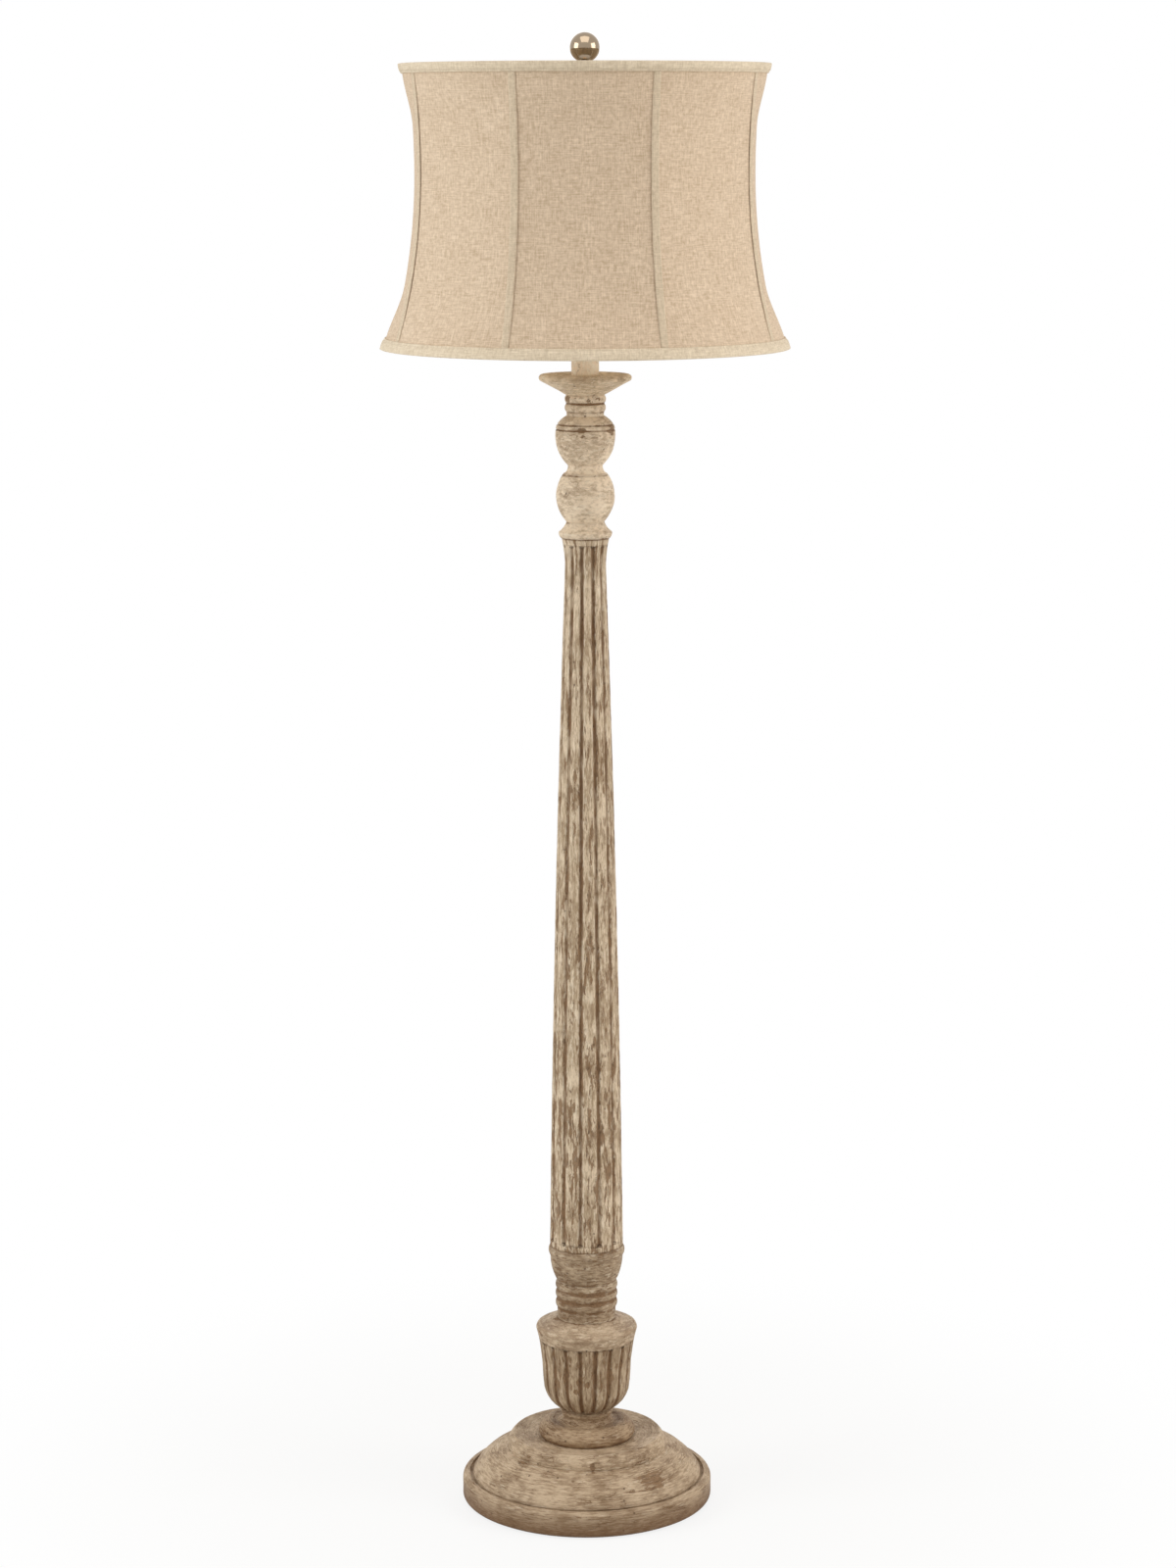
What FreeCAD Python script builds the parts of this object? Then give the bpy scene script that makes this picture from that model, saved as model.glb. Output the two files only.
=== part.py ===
# Candlestick floor lamp: turned and carved wooden column on a round weighted base, with a
# panelled bell-drum shade carried by a harp and locked by a ball finial.
# Millimetres, +Z up. The origin is the centre of the underside. The front of the lamp faces -Y,
# the harp stands in the XZ plane and the cord inlet is at the back (+Y).

import FreeCAD, Part

import math
import os

V = FreeCAD.Vector
UP = V(0, 0, 1)
FRONT = V(0, -1, 0)
BACK = V(0, 1, 0)
AXIS_POINT = V(0, 0, 0)

# ---------------------------------------------------------------- clearances
pipe_gap = 0.25  # wooden and metal pieces slipped over the lamp pipe
turn_gap = 0.1  # pieces that turn or slide on each other
seat_gap = 0.2  # covering pieces that lie round a curved neighbour

# ---------------------------------------------------------------- lamp pipe and its nuts
pipe_radius = 4.95
pipe_wall = 1.5
pipe_tail = 0.8  # pipe standing out below the bottom nut
nut_across_flats = 14.0
bottom_nut_height = 5.0
top_nut_height = 3.6
bottom_washer_radius = 17.0
bottom_washer_thickness = 1.6

# ---------------------------------------------------------------- base
felt_radius = 134.0
felt_thickness = 2.0
recess_radius = 97.0
recess_depth = 34.0
weight_radius = 95.0
weight_thickness = 22.0
weight_pocket_radius = 20.0  # hollow in the weight's underside round the washer and nut
weight_pocket_depth = 3.0
weight_screw_count = 3
weight_screw_circle = 72.0
weight_screw_radius = 2.5
weight_screw_head_radius = 5.0
weight_screw_head_height = 3.0
weight_screw_head_swell = 0.8
weight_screw_bite = 12.0  # screw length inside the wood

plinth_foot_radius = 137.4
plinth_rim_radius = 139.9
plinth_rim_height = 23.0
plinth_rim_round = 6.6
plinth_rim_swell = 2.2
plinth_foot_round = 5.0
plinth_foot_swell = 0.8
plinth_groove_radius = 130.0
plinth_groove_width = 3.0
plinth_groove_depth = 3.4
plinth_height = 58.0  # from the felt to the foot of the tier
plinth_dome_swell = 6.0

tier_foot_radius = 89.0
tier_edge_radius = 82.4
tier_height = 15.6
tier_round = 2.0
tier_hollow = 0.6
tier_dish = 3.6  # how far the tier's top falls towards the collar

collar_foot_radius = 51.6
collar_roll_radius = 53.6
collar_foot_swell = 1.2
collar_shoulder_swell = 5.0
collar_cove_hollow = 2.4
collar_roll_height = 9.0  # from the collar's foot to the widest point of its roll
collar_shoulder_radius = 34.0
collar_shoulder_height = 17.0
collar_neck_radius = 26.4
collar_cove_height = 7.6
collar_bead_radius = 29.0
collar_bead_height = 7.8
collar_neck_height = 1.6

cord_hole_radius = 5.6
cord_hole_height = 16.0
bushing_bore_radius = 3.2
bushing_flange_radius = 8.6
bushing_flange_thickness = 2.0
bushing_length = 18.0
bushing_seat_depth = 3.0  # flat spot in the rim for the flange
cord_channel_width = 11.0

# ---------------------------------------------------------------- urn
urn_foot_radius = 31.0
urn_hip_radius = 48.6
urn_hip_height = 30.0
urn_hip_swell = 4.6
urn_side_radius = 53.2
urn_side_height = 78.0
urn_rim_radius = 56.5
urn_rim_height = 92.0
urn_shoulder_radius = 50.4
urn_shoulder_height = 97.5
urn_height = 104.6
urn_neck_radius = 33.0
urn_shoulder_swell = 2.2
urn_shoulder_hollow = 0.6
urn_hip_levels = 6  # straight stretches that the flutes take round the hip and up the side
urn_hip_crowding = 1.7  # above 1 brings the levels closer together at the foot
urn_side_levels = 2
urn_groove_count = 19
urn_groove_radius = 2.3
urn_groove_depth = 2.2
urn_groove_phase = -7.7  # degrees from the front, seen from above

# ---------------------------------------------------------------- lower ringed neck
lower_neck_radius = 32.4
lower_neck_foot_height = 12.4
lower_neck_bead_count = 3
lower_neck_bead_height = 10.4
lower_neck_bead_swell = 2.2

# ---------------------------------------------------------------- cup under the shaft
cup_foot_radius = 33.0
cup_rim_radius = 40.4
cup_height = 29.0
cup_swell = 2.0
cup_ring_radius = 42.6
cup_ring_height = 11.4

# ---------------------------------------------------------------- fluted shaft
shaft_foot_radius = 40.8
shaft_waist_radius = 22.4
shaft_swell = 2.2
shaft_top_radius = 25.8
shaft_height = 793.5
shaft_flare_height = 35.5  # from the waist up to the capital
shaft_groove_count = 12
shaft_groove_radius = 2.4
shaft_groove_depth = 2.2
shaft_groove_phase = -9.6
shaft_taper_levels = 6  # straight stretches that the flutes take up the taper and the flare
shaft_flare_levels = 3
shaft_groove_start = 9.0
shaft_groove_stop = 9.0  # plain wood left above the grooves

# ---------------------------------------------------------------- capital ring
capital_foot_radius = 26.6
capital_radius = 29.0
capital_edge_height = 6.5
capital_height = 17.5
capital_neck_radius = 20.6
capital_edge_swell = 0.8
capital_hollow = 1.2

# ---------------------------------------------------------------- turned balls
lower_ball_radius = 31.8
lower_ball_middle = 28.6  # height of the widest point above the ball's foot
lower_ball_foot_radius = 20.4
lower_ball_height = 52.4
lower_ball_top_radius = 23.6
upper_ball_foot_height = 8.8  # cove between the two balls
cove_step = 0.6
cove_hollow = 1.4
upper_ball_foot_radius = 18.9
upper_ball_radius = 32.5
upper_ball_middle = 40.4
upper_ball_shoulder_radius = 31.4
upper_ball_shoulder_height = 51.6
upper_ball_shoulder_swell = 1.2
upper_ball_height = 62.0
upper_ball_top_radius = 20.4
ball_line_depth = 0.9
ball_line_radius = 0.9
ball_line_height = 7.0  # first incised line above the widest point of the upper ball
ball_line_pitch = 5.4

# ---------------------------------------------------------------- upper ringed neck
upper_neck_radius = 20.2
upper_neck_bead_count = 2
upper_neck_bead_height = 9.3
upper_neck_bead_swell = 2.0
upper_neck_fillet_height = 4.2

# ---------------------------------------------------------------- drip dish and candle sleeve
dish_foot_radius = 21.4
dish_radius = 48.7
dish_rim_height = 14.9
dish_rim_thickness = 6.8
dish_rim_land = 2.4
dish_hollow_depth = 4.0
dish_seat_radius = 17.0
dish_hollow_under = 0.3
dish_rim_swell = 2.6
dish_hollow_sag = 1.2
dish_seat_sag = 0.4
sleeve_radius = 14.8
sleeve_wall = 2.0
sleeve_height = 56.2
sleeve_cap_radius = 16.2
sleeve_cap_thickness = 2.2
sleeve_cap_round = 0.8

# ---------------------------------------------------------------- harp
saddle_width = 13.0
saddle_thickness = 1.6
saddle_ear_width = 4.2
saddle_ear_height = 13.0
harp_wire_radius = 2.1
harp_foot_offset = 31.4
harp_foot_gap = 2.0  # from the saddle's strap to the end of the wire
harp_lap_over = 1.0  # flat on the wire above the top of the ear
harp_straight_leg = 34.0
harp_half_width = 57.0
harp_widest_height = 128.0
harp_height = 250.0
harp_crown_radius = 38.0
ferrule_bore_radius = 3.0
ferrule_wall = 1.0
ferrule_length = 14.0
stud_radius = 3.1
stud_length = 13.0
stud_collar_radius = 6.0
stud_collar_height = 8.0

# ---------------------------------------------------------------- socket
socket_radius = 17.4
socket_sheet = 0.5
socket_cap_height = 17.0
socket_cap_hub_radius = 8.0
socket_cap_hub_height = 6.0
socket_cap_floor = 1.0
socket_cap_lip = 4.0
socket_cap_swell = 3.0
socket_shell_height = 50.0
socket_shell_lap = 4.0  # shell reaching down into the cap
socket_liner_wall = 0.6
socket_body_height = 20.0
socket_body_taper = 5.0
screw_shell_radius = 13.6
screw_shell_wall = 0.4
screw_shell_height = 27.0
contact_radius = 3.4
contact_height = 1.6
switch_height = 15.0  # above the underside of the phenolic body
switch_shaft_radius = 1.6
switch_shaft_inside = 9.0
knob_gap = 1.0  # between the shell and the knob's collar
knob_collar_radius = 3.4
knob_collar_length = 4.0
knob_lap = 1.0
knob_length = 15.0
knob_width = 13.0
knob_thickness = 4.6
knob_round = 2.0

# ---------------------------------------------------------------- bulb
bulb_cap_height = 22.0
bulb_cap_wall = 0.5
bulb_cap_taper = 2.6
bulb_insulator_height = 2.6
bulb_insulator_top_radius = 10.5
bulb_insulator_foot_radius = 5.0
bulb_tip_radius = 3.2
bulb_tip_height = 1.4
bulb_neck_height = 10.0
bulb_neck_hollow = 1.4
bulb_joint_angle = 28.0  # where the globe meets the neck, degrees below its widest circle
bulb_radius = 30.0
bulb_length = 84.0  # glass above the metal cap
bulb_wall = 0.8

# ---------------------------------------------------------------- shade
shade_panel_count = 8
shade_height = 296.8
shade_waist_radius = 187.6
shade_waist_height = 187.0
shade_top_flare = 6.8  # how far the top edge stands outside the waist
shade_bottom_flare = 29.0
shade_cloth = 0.9
shade_lining_cloth = 0.5
shade_panel_flatness = 0.033  # how far a panel's middle lies inside the circle through its seams
shade_panel_ease = 0.2  # share of the height over which a panel goes from round to flat
shade_level_shares = (0.0, 0.08, 0.2, 0.4, 0.6, 0.8, 0.92, 1.0)
shade_ring_wire_radius = 1.8
shade_rib_wire_radius = 1.3
top_trim_height = 12.0
bottom_trim_height = 12.6
trim_thickness = 3.6
trim_edge_thickness = 1.8
trim_roll = 0.9
trim_crown = 3.2
trim_inside_thickness = 1.2
seam_width = 8.4
seam_thickness = 1.1
spider_arm_count = 3
spider_arm_wire_radius = 1.8
spider_arm_lap = 2.5
spider_washer_radius = 11.0
spider_washer_thickness = 2.0
spider_recess = 10.3  # washer's underside below the middle of the top ring wire

# ---------------------------------------------------------------- finial
finial_base_radius = 7.6
finial_waist_radius = 4.9
finial_base_height = 13.0
finial_rim_height = 3.0
finial_rim_swell = 0.6
finial_neck_hollow = 1.6
finial_ball_radius = 16.0
finial_thread_depth = 11.6  # tapped hole, up from the underside

pipe_hole = pipe_radius + pipe_gap


# ================================================================ drawing helpers
class Outline:
    """Half section of a turned piece in the XZ plane. It starts at the foot, goes up the outside and
    comes back down the bore. A positive sag swells an arc out of the wood, a negative one hollows it."""

    def __init__(self, r, z):
        self.points = [V(r, 0, z)]
        self.edges = []

    def line(self, r, z):
        end = V(r, 0, z)
        if end.distanceToPoint(self.points[-1]) > 1e-6:
            self.edges.append(Part.makeLine(self.points[-1], end))
            self.points.append(end)
        return self

    def arc(self, r, z, sag):
        """Arc whose middle stands off its chord by the sag."""
        start, end = self.points[-1], V(r, 0, z)
        chord = end - start
        out = V(chord.z, 0, -chord.x).normalize()
        return self.through((start + end) * 0.5 + out * sag, end)

    def through(self, middle, end):
        self.edges.append(Part.Arc(self.points[-1], middle, end).toShape())
        self.points.append(end)
        return self

    def flow(self, r, z):
        """Arc that carries on smoothly from the last edge."""
        last = self.edges[-1]
        heading = last.tangentAt(last.LastParameter)
        chord = V(r, 0, z) - self.points[-1]
        turn = heading.getAngle(chord)
        side = 1 if heading.cross(chord).y < 0 else -1
        return self.arc(r, z, side * 0.5 * chord.Length * math.tan(0.5 * turn))

    def rise(self, r, z):
        """Arc that ends upright, at the widest point of a ball."""
        chord = V(r, 0, z) - self.points[-1]
        lean = math.atan2(chord.x, chord.z)
        return self.arc(r, z, 0.5 * chord.Length * math.tan(0.5 * lean))

    def turned(self):
        self.line(self.points[0].x, self.points[0].z)
        return Part.Face(Part.Wire(self.edges)).revolve(AXIS_POINT, UP, 360)

    def bored(self, top):
        """Closes a turned piece along the hole for the lamp pipe."""
        return self.line(pipe_hole, top).turned()


def tube(outer, inner, z, height):
    """Upright pipe: outer and inner radius, foot height and length."""
    blank = Part.makeCylinder(outer, height, V(0, 0, z), UP)
    return blank.cut(Part.makeCylinder(inner, height, V(0, 0, z), UP))


def hex_nut(z, height):
    """Hexagon nut on the lamp pipe. Its thread is a plain bore with the turning gap."""
    corner = nut_across_flats / math.sqrt(3)
    turns = [math.radians(60 * k) for k in range(7)]
    ring = [V(corner * math.cos(turn), corner * math.sin(turn), z) for turn in turns]
    blank = Part.Face(Part.makePolygon(ring)).extrude(UP * height)
    return blank.cut(Part.makeCylinder(pipe_radius + turn_gap, height, V(0, 0, z), UP))


def around(shape, count, phase=0.0):
    """Copies of a shape set evenly round the lamp's axis. The phase is in degrees from where it was drawn."""
    copies = []
    for k in range(count):
        copy = shape.copy()
        copy.rotate(AXIS_POINT, UP, phase + 360.0 * k / count)
        copies.append(copy)
    return copies


def rod(edges, radius):
    """Round bar along lines and arcs that run smoothly into each other."""
    spans = []
    for edge in edges:
        start = edge.valueAt(edge.FirstParameter)
        heading = edge.tangentAt(edge.FirstParameter)
        disc = Part.Face(Part.Wire(Part.makeCircle(radius, start, heading)))
        if isinstance(edge.Curve, Part.Circle):
            sweep = math.degrees(edge.LastParameter - edge.FirstParameter)
            spans.append(disc.revolve(edge.Curve.Center, edge.Curve.Axis, sweep))
        else:
            spans.append(disc.extrude(heading * edge.Length))
    return spans[0].fuse(spans[1:]) if len(spans) > 1 else spans[0]


def radius_at(edges, z):
    """Radius of an outline where it passes a height."""
    level = Part.makeLine(V(0, 0, z), V(2 * plinth_rim_radius, 0, z))
    return min((edge.distToShape(level) for edge in edges), key=lambda found: found[0])[1][0][0].x


def fluted_section(radius, z, count, phase, groove_radius, depth):
    """Circle with evenly spaced round grooves let into it. The phase is in degrees from the front."""
    centre = radius + groove_radius - depth
    half = math.acos((radius**2 + centre**2 - groove_radius**2) / (2 * radius * centre))
    step = 2 * math.pi / count

    def at(r, turn):
        return V(r * math.sin(turn), -r * math.cos(turn), z)

    edges = []
    for k in range(count):
        turn = math.radians(phase) + k * step
        flute = at(radius, turn - half), at(radius - depth, turn), at(radius, turn + half)
        land = at(radius, turn + half), at(radius, turn + 0.5 * step), at(radius, turn + step - half)
        edges += [Part.Arc(*flute).toShape(), Part.Arc(*land).toShape()]
    return Part.Wire(edges)


def fluted(blank, side, levels, stopped, groove):
    """Turned blank with grooves from the first to the last level. A stopped level ends them in a round.
    The groove gives their count, phase, radius and depth."""
    count, phase, groove_radius, depth = groove
    sections = [fluted_section(radius_at(side, z), z, count, phase, groove_radius, depth) for z in levels]
    core = Part.makeLoft(sections, True, True)
    low, high = levels[0], levels[-1]
    plain = blank.cut(Part.makeCylinder(2 * plinth_rim_radius, high - low, V(0, 0, low), UP))
    balls = []
    for z in stopped:
        centre = radius_at(side, z) + groove_radius - depth
        balls += around(Part.makeSphere(groove_radius, V(0, -centre, z)), count, phase)
    core = core.cut(Part.makeCylinder(pipe_hole, high - low, V(0, 0, low), UP))
    return plain.cut(balls).fuse(core)


def export(name, shape):
    solids = shape.Solids
    body = solids[0] if len(solids) == 1 else Part.makeCompound(solids)
    if not body.isValid():
        print("not valid:", name)
    body.exportStep("parts/" + name + ".step")


# ================================================================ heights of the stack
plinth_foot = felt_thickness
recess_top = plinth_foot + recess_depth
weight_foot = recess_top - weight_thickness
bottom_nut_foot = weight_foot + weight_pocket_depth - bottom_washer_thickness - bottom_nut_height
tier_foot = plinth_foot + plinth_height
tier_edge_top = tier_foot + tier_height
collar_foot = tier_edge_top - tier_dish
urn_foot = collar_foot + collar_shoulder_height + collar_cove_height + collar_bead_height + collar_neck_height
lower_neck_foot = urn_foot + urn_height
cup_foot = lower_neck_foot + lower_neck_foot_height + lower_neck_bead_count * lower_neck_bead_height
shaft_foot = cup_foot + cup_height + cup_ring_height
capital_foot = shaft_foot + shaft_height
shaft_waist = capital_foot - shaft_flare_height
lower_ball_foot = capital_foot + capital_height
upper_ball_foot = lower_ball_foot + lower_ball_height
upper_neck_foot = upper_ball_foot + upper_ball_height
dish_foot = upper_neck_foot + upper_neck_fillet_height + upper_neck_bead_count * upper_neck_bead_height
dish_rim = dish_foot + dish_rim_height + dish_rim_thickness
sleeve_foot = dish_rim - 0.5 * dish_hollow_depth
sleeve_cap_foot = sleeve_foot + sleeve_height
top_nut_foot = sleeve_cap_foot + sleeve_cap_thickness
saddle_foot = top_nut_foot + top_nut_height
socket_foot = saddle_foot + saddle_thickness
socket_body_foot = socket_foot + socket_cap_hub_height
socket_body_top = socket_body_foot + socket_body_height
socket_shell_foot = socket_foot + socket_cap_height - socket_shell_lap
switch_axis = socket_body_foot + switch_height
bulb_tip_foot = socket_body_top + contact_height + seat_gap
bulb_cap_foot = bulb_tip_foot + bulb_tip_height + bulb_insulator_height
bulb_cap_top = bulb_cap_foot + bulb_cap_height
harp_foot = socket_foot + harp_foot_gap
harp_crown = saddle_foot + harp_height
spider_foot = harp_crown + 0.5 * stud_collar_height
spider_top = spider_foot + spider_washer_thickness
top_ring_height = spider_foot + spider_recess
shade_top = top_ring_height + shade_ring_wire_radius
shade_foot = shade_top - shade_height
shade_waist = shade_foot + shade_waist_height
finial_foot = spider_top
finial_ball_centre = finial_foot + finial_base_height + finial_ball_radius


# ================================================================ base
def base_felt():
    return Part.makeCylinder(felt_radius, felt_thickness, V(0, 0, 0), UP)


def base_plinth():
    groove_out = plinth_groove_radius + 0.5 * plinth_groove_width
    groove_in = plinth_groove_radius - 0.5 * plinth_groove_width
    rim_top = plinth_rim_height + plinth_rim_round
    outline = Outline(recess_radius, plinth_foot)
    outline.line(plinth_foot_radius, plinth_foot)
    outline.arc(plinth_rim_radius, plinth_foot + plinth_foot_round, plinth_foot_swell)
    outline.line(plinth_rim_radius, plinth_rim_height)
    outline.arc(plinth_rim_radius - plinth_rim_round, rim_top, plinth_rim_swell)
    outline.line(groove_out, rim_top)
    outline.arc(groove_in, rim_top, -plinth_groove_depth)
    outline.arc(tier_foot_radius, tier_foot, plinth_dome_swell)
    outline.line(pipe_hole, tier_foot)
    outline.line(pipe_hole, recess_top)
    outline.line(recess_radius, recess_top)
    cord_hole = Part.makeCylinder(cord_hole_radius, plinth_rim_radius, V(0, 0, cord_hole_height), BACK)
    seat = plinth_rim_radius - bushing_seat_depth
    spot_radius = bushing_flange_radius + pipe_gap
    spot_face = Part.makeCylinder(spot_radius, 2 * bushing_seat_depth, V(0, seat, cord_hole_height), BACK)
    return outline.turned().cut([cord_hole, spot_face] + screw_shanks(weight_screw_radius))


def base_tier():
    outline = Outline(pipe_hole, tier_foot)
    outline.line(tier_foot_radius, tier_foot)
    outline.arc(tier_edge_radius, tier_edge_top, tier_round)
    outline.arc(collar_foot_radius, collar_foot, -tier_hollow)
    return outline.bored(collar_foot)


def base_collar():
    cove_foot = collar_foot + collar_shoulder_height
    cove_top = cove_foot + collar_cove_height
    bead_top = cove_top + collar_bead_height
    outline = Outline(pipe_hole, collar_foot)
    outline.line(collar_foot_radius, collar_foot)
    outline.arc(collar_roll_radius, collar_foot + collar_roll_height, collar_foot_swell)
    outline.arc(collar_shoulder_radius, cove_foot, collar_shoulder_swell)
    outline.arc(collar_neck_radius, cove_top, -collar_cove_hollow)
    outline.arc(collar_neck_radius, bead_top, collar_bead_radius - collar_neck_radius)
    outline.line(collar_neck_radius, urn_foot)
    return outline.bored(urn_foot)


def base_weight():
    disc = tube(weight_radius, pipe_hole, weight_foot, weight_thickness)
    pocket = Part.makeCylinder(weight_pocket_radius, weight_pocket_depth, V(0, 0, weight_foot), UP)
    channel_height = cord_hole_height + cord_hole_radius - weight_foot
    corner = V(-0.5 * cord_channel_width, 0, weight_foot)
    channel = Part.makeBox(cord_channel_width, weight_radius, channel_height, corner)
    return disc.cut([pocket, channel] + screw_shanks(weight_screw_radius + pipe_gap))


def screw_shanks(radius):
    """Shanks of the weight screws, from the underside of the weight up into the wood."""
    length = weight_thickness + weight_screw_bite
    shank = Part.makeCylinder(radius, length, V(0, -weight_screw_circle, weight_foot), UP)
    return around(shank, weight_screw_count)


def weight_screws():
    head = Outline(0, weight_foot - weight_screw_head_height)
    head.arc(weight_screw_head_radius, weight_foot, weight_screw_head_swell)
    head.line(0, weight_foot)
    cap = head.turned()
    cap.translate(V(0, -weight_screw_circle, 0))
    heads = around(cap, weight_screw_count)
    return Part.makeCompound([h.fuse(s) for h, s in zip(heads, screw_shanks(weight_screw_radius))])


def cord_bushing():
    seat = plinth_rim_radius - bushing_seat_depth
    inner_end = V(0, seat - bushing_length, cord_hole_height)
    sleeve = Part.makeCylinder(cord_hole_radius - turn_gap, bushing_length, inner_end, BACK)
    thickness = bushing_flange_thickness
    flange = Part.makeCylinder(bushing_flange_radius, thickness, V(0, seat, cord_hole_height), BACK)
    bore = Part.makeCylinder(bushing_bore_radius, bushing_length + thickness, inner_end, BACK)
    return sleeve.fuse(flange).cut(bore)


# ================================================================ lamp pipe and nuts
def bottom_washer():
    return tube(bottom_washer_radius, pipe_hole, bottom_nut_foot + bottom_nut_height, bottom_washer_thickness)


def lamp_pipe():
    foot = bottom_nut_foot - pipe_tail
    top = socket_foot + socket_cap_hub_height - socket_cap_floor
    return tube(pipe_radius, pipe_radius - pipe_wall, foot, top - foot)


# ================================================================ column
def urn_outline():
    """Outside of the urn from its foot up to the point where the grooves stop."""
    side = Outline(urn_foot_radius, urn_foot)
    side.arc(urn_hip_radius, urn_foot + urn_hip_height, urn_hip_swell)
    return side.flow(urn_side_radius, urn_foot + urn_side_height)


def urn():
    outline = urn_outline()
    outline.flow(urn_rim_radius, urn_foot + urn_rim_height)
    outline.arc(urn_shoulder_radius, urn_foot + urn_shoulder_height, urn_shoulder_swell)
    outline.arc(urn_neck_radius, lower_neck_foot, -urn_shoulder_hollow)
    outline.line(pipe_hole, lower_neck_foot)
    outline.line(pipe_hole, urn_foot)
    rise = urn_side_height - urn_hip_height
    shares = [(k / urn_hip_levels) ** urn_hip_crowding for k in range(urn_hip_levels)]
    low = [urn_foot + urn_hip_height * share for share in shares]
    high = [urn_foot + urn_hip_height + rise * k / urn_side_levels for k in range(urn_side_levels + 1)]
    groove = urn_groove_count, urn_groove_phase, urn_groove_radius, urn_groove_depth
    return fluted(outline.turned(), urn_outline().edges, low + high, high[-1:], groove)


def beads(outline, count, height, swell):
    """Adds a run of equal half-round beads to an outline."""
    for _ in range(count):
        end = outline.points[-1]
        outline.arc(end.x, end.z + height, swell)


def lower_neck():
    outline = Outline(pipe_hole, lower_neck_foot)
    outline.line(lower_neck_radius, lower_neck_foot)
    outline.line(lower_neck_radius, lower_neck_foot + lower_neck_foot_height)
    beads(outline, lower_neck_bead_count, lower_neck_bead_height, lower_neck_bead_swell)
    return outline.bored(cup_foot)


def shaft_cup():
    rim = cup_foot + cup_height
    outline = Outline(pipe_hole, cup_foot)
    outline.line(cup_foot_radius, cup_foot)
    outline.arc(cup_rim_radius, rim, cup_swell)
    outline.arc(cup_rim_radius, shaft_foot, cup_ring_radius - cup_rim_radius)
    return outline.bored(shaft_foot)


def shaft_outline():
    """Outside of the shaft: a long swelling taper, then a short flare up to the capital."""
    side = Outline(shaft_foot_radius, shaft_foot)
    side.arc(shaft_waist_radius, shaft_waist, shaft_swell)
    return side.flow(shaft_top_radius, capital_foot)


def shaft():
    outline = shaft_outline()
    outline.line(pipe_hole, capital_foot)
    outline.line(pipe_hole, shaft_foot)
    low, high = shaft_foot + shaft_groove_start, capital_foot - shaft_groove_stop
    taper, flare = shaft_waist - low, high - shaft_waist
    levels = [low + taper * k / shaft_taper_levels for k in range(shaft_taper_levels)]
    levels += [shaft_waist + flare * k / shaft_flare_levels for k in range(shaft_flare_levels + 1)]
    groove = shaft_groove_count, shaft_groove_phase, shaft_groove_radius, shaft_groove_depth
    return fluted(outline.turned(), shaft_outline().edges, levels, (low, high), groove)


def capital():
    outline = Outline(pipe_hole, capital_foot)
    outline.line(capital_foot_radius, capital_foot)
    outline.arc(capital_radius, capital_foot + capital_edge_height, capital_edge_swell)
    outline.arc(capital_neck_radius, lower_ball_foot, -capital_hollow)
    return outline.bored(lower_ball_foot)


def lower_ball():
    outline = Outline(pipe_hole, lower_ball_foot)
    outline.line(lower_ball_foot_radius, lower_ball_foot)
    outline.rise(lower_ball_radius, lower_ball_foot + lower_ball_middle)
    outline.flow(lower_ball_top_radius, upper_ball_foot)
    return outline.bored(upper_ball_foot)


def upper_ball():
    cove_top = upper_ball_foot + upper_ball_foot_height
    middle = upper_ball_foot + upper_ball_middle
    outline = Outline(pipe_hole, upper_ball_foot)
    outline.line(lower_ball_top_radius - cove_step, upper_ball_foot)
    outline.arc(upper_ball_foot_radius, cove_top, -cove_hollow)
    shoulder = V(upper_ball_shoulder_radius, 0, upper_ball_foot + upper_ball_shoulder_height)
    outline.through(V(upper_ball_radius, 0, middle), shoulder)
    outline.arc(upper_ball_top_radius, upper_neck_foot, upper_ball_shoulder_swell)
    globe = outline.edges[-2:]
    wood = outline.bored(upper_neck_foot)
    lines = []
    for k in range(2):
        z = middle + ball_line_height + k * ball_line_pitch
        ring_radius = radius_at(globe, z) + ball_line_radius - ball_line_depth
        lines.append(Part.makeTorus(ring_radius, ball_line_radius, V(0, 0, z), UP))
    return wood.cut(lines)


def upper_neck():
    outline = Outline(pipe_hole, upper_neck_foot)
    outline.line(upper_neck_radius, upper_neck_foot)
    outline.line(upper_neck_radius, upper_neck_foot + upper_neck_fillet_height)
    beads(outline, upper_neck_bead_count, upper_neck_bead_height, upper_neck_bead_swell)
    return outline.bored(dish_foot)


def drip_dish():
    rim_foot = dish_foot + dish_rim_height
    inside = dish_radius - dish_rim_land
    deepest = 0.5 * (inside + dish_seat_radius)
    outline = Outline(pipe_hole, dish_foot)
    outline.line(dish_foot_radius, dish_foot)
    outline.arc(dish_radius, rim_foot, -dish_hollow_under)
    outline.arc(inside, dish_rim, dish_rim_swell)
    outline.arc(deepest, dish_rim - dish_hollow_depth, -dish_hollow_sag)
    outline.arc(dish_seat_radius, sleeve_foot, -dish_seat_sag)
    return outline.bored(sleeve_foot)


def candle_sleeve():
    return tube(sleeve_radius, sleeve_radius - sleeve_wall, sleeve_foot, sleeve_height)


def sleeve_cap():
    outline = Outline(pipe_hole, sleeve_cap_foot)
    outline.line(sleeve_cap_radius, sleeve_cap_foot)
    outline.arc(sleeve_cap_radius - sleeve_cap_round, top_nut_foot, 0.5 * sleeve_cap_round)
    return outline.bored(top_nut_foot)


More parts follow.
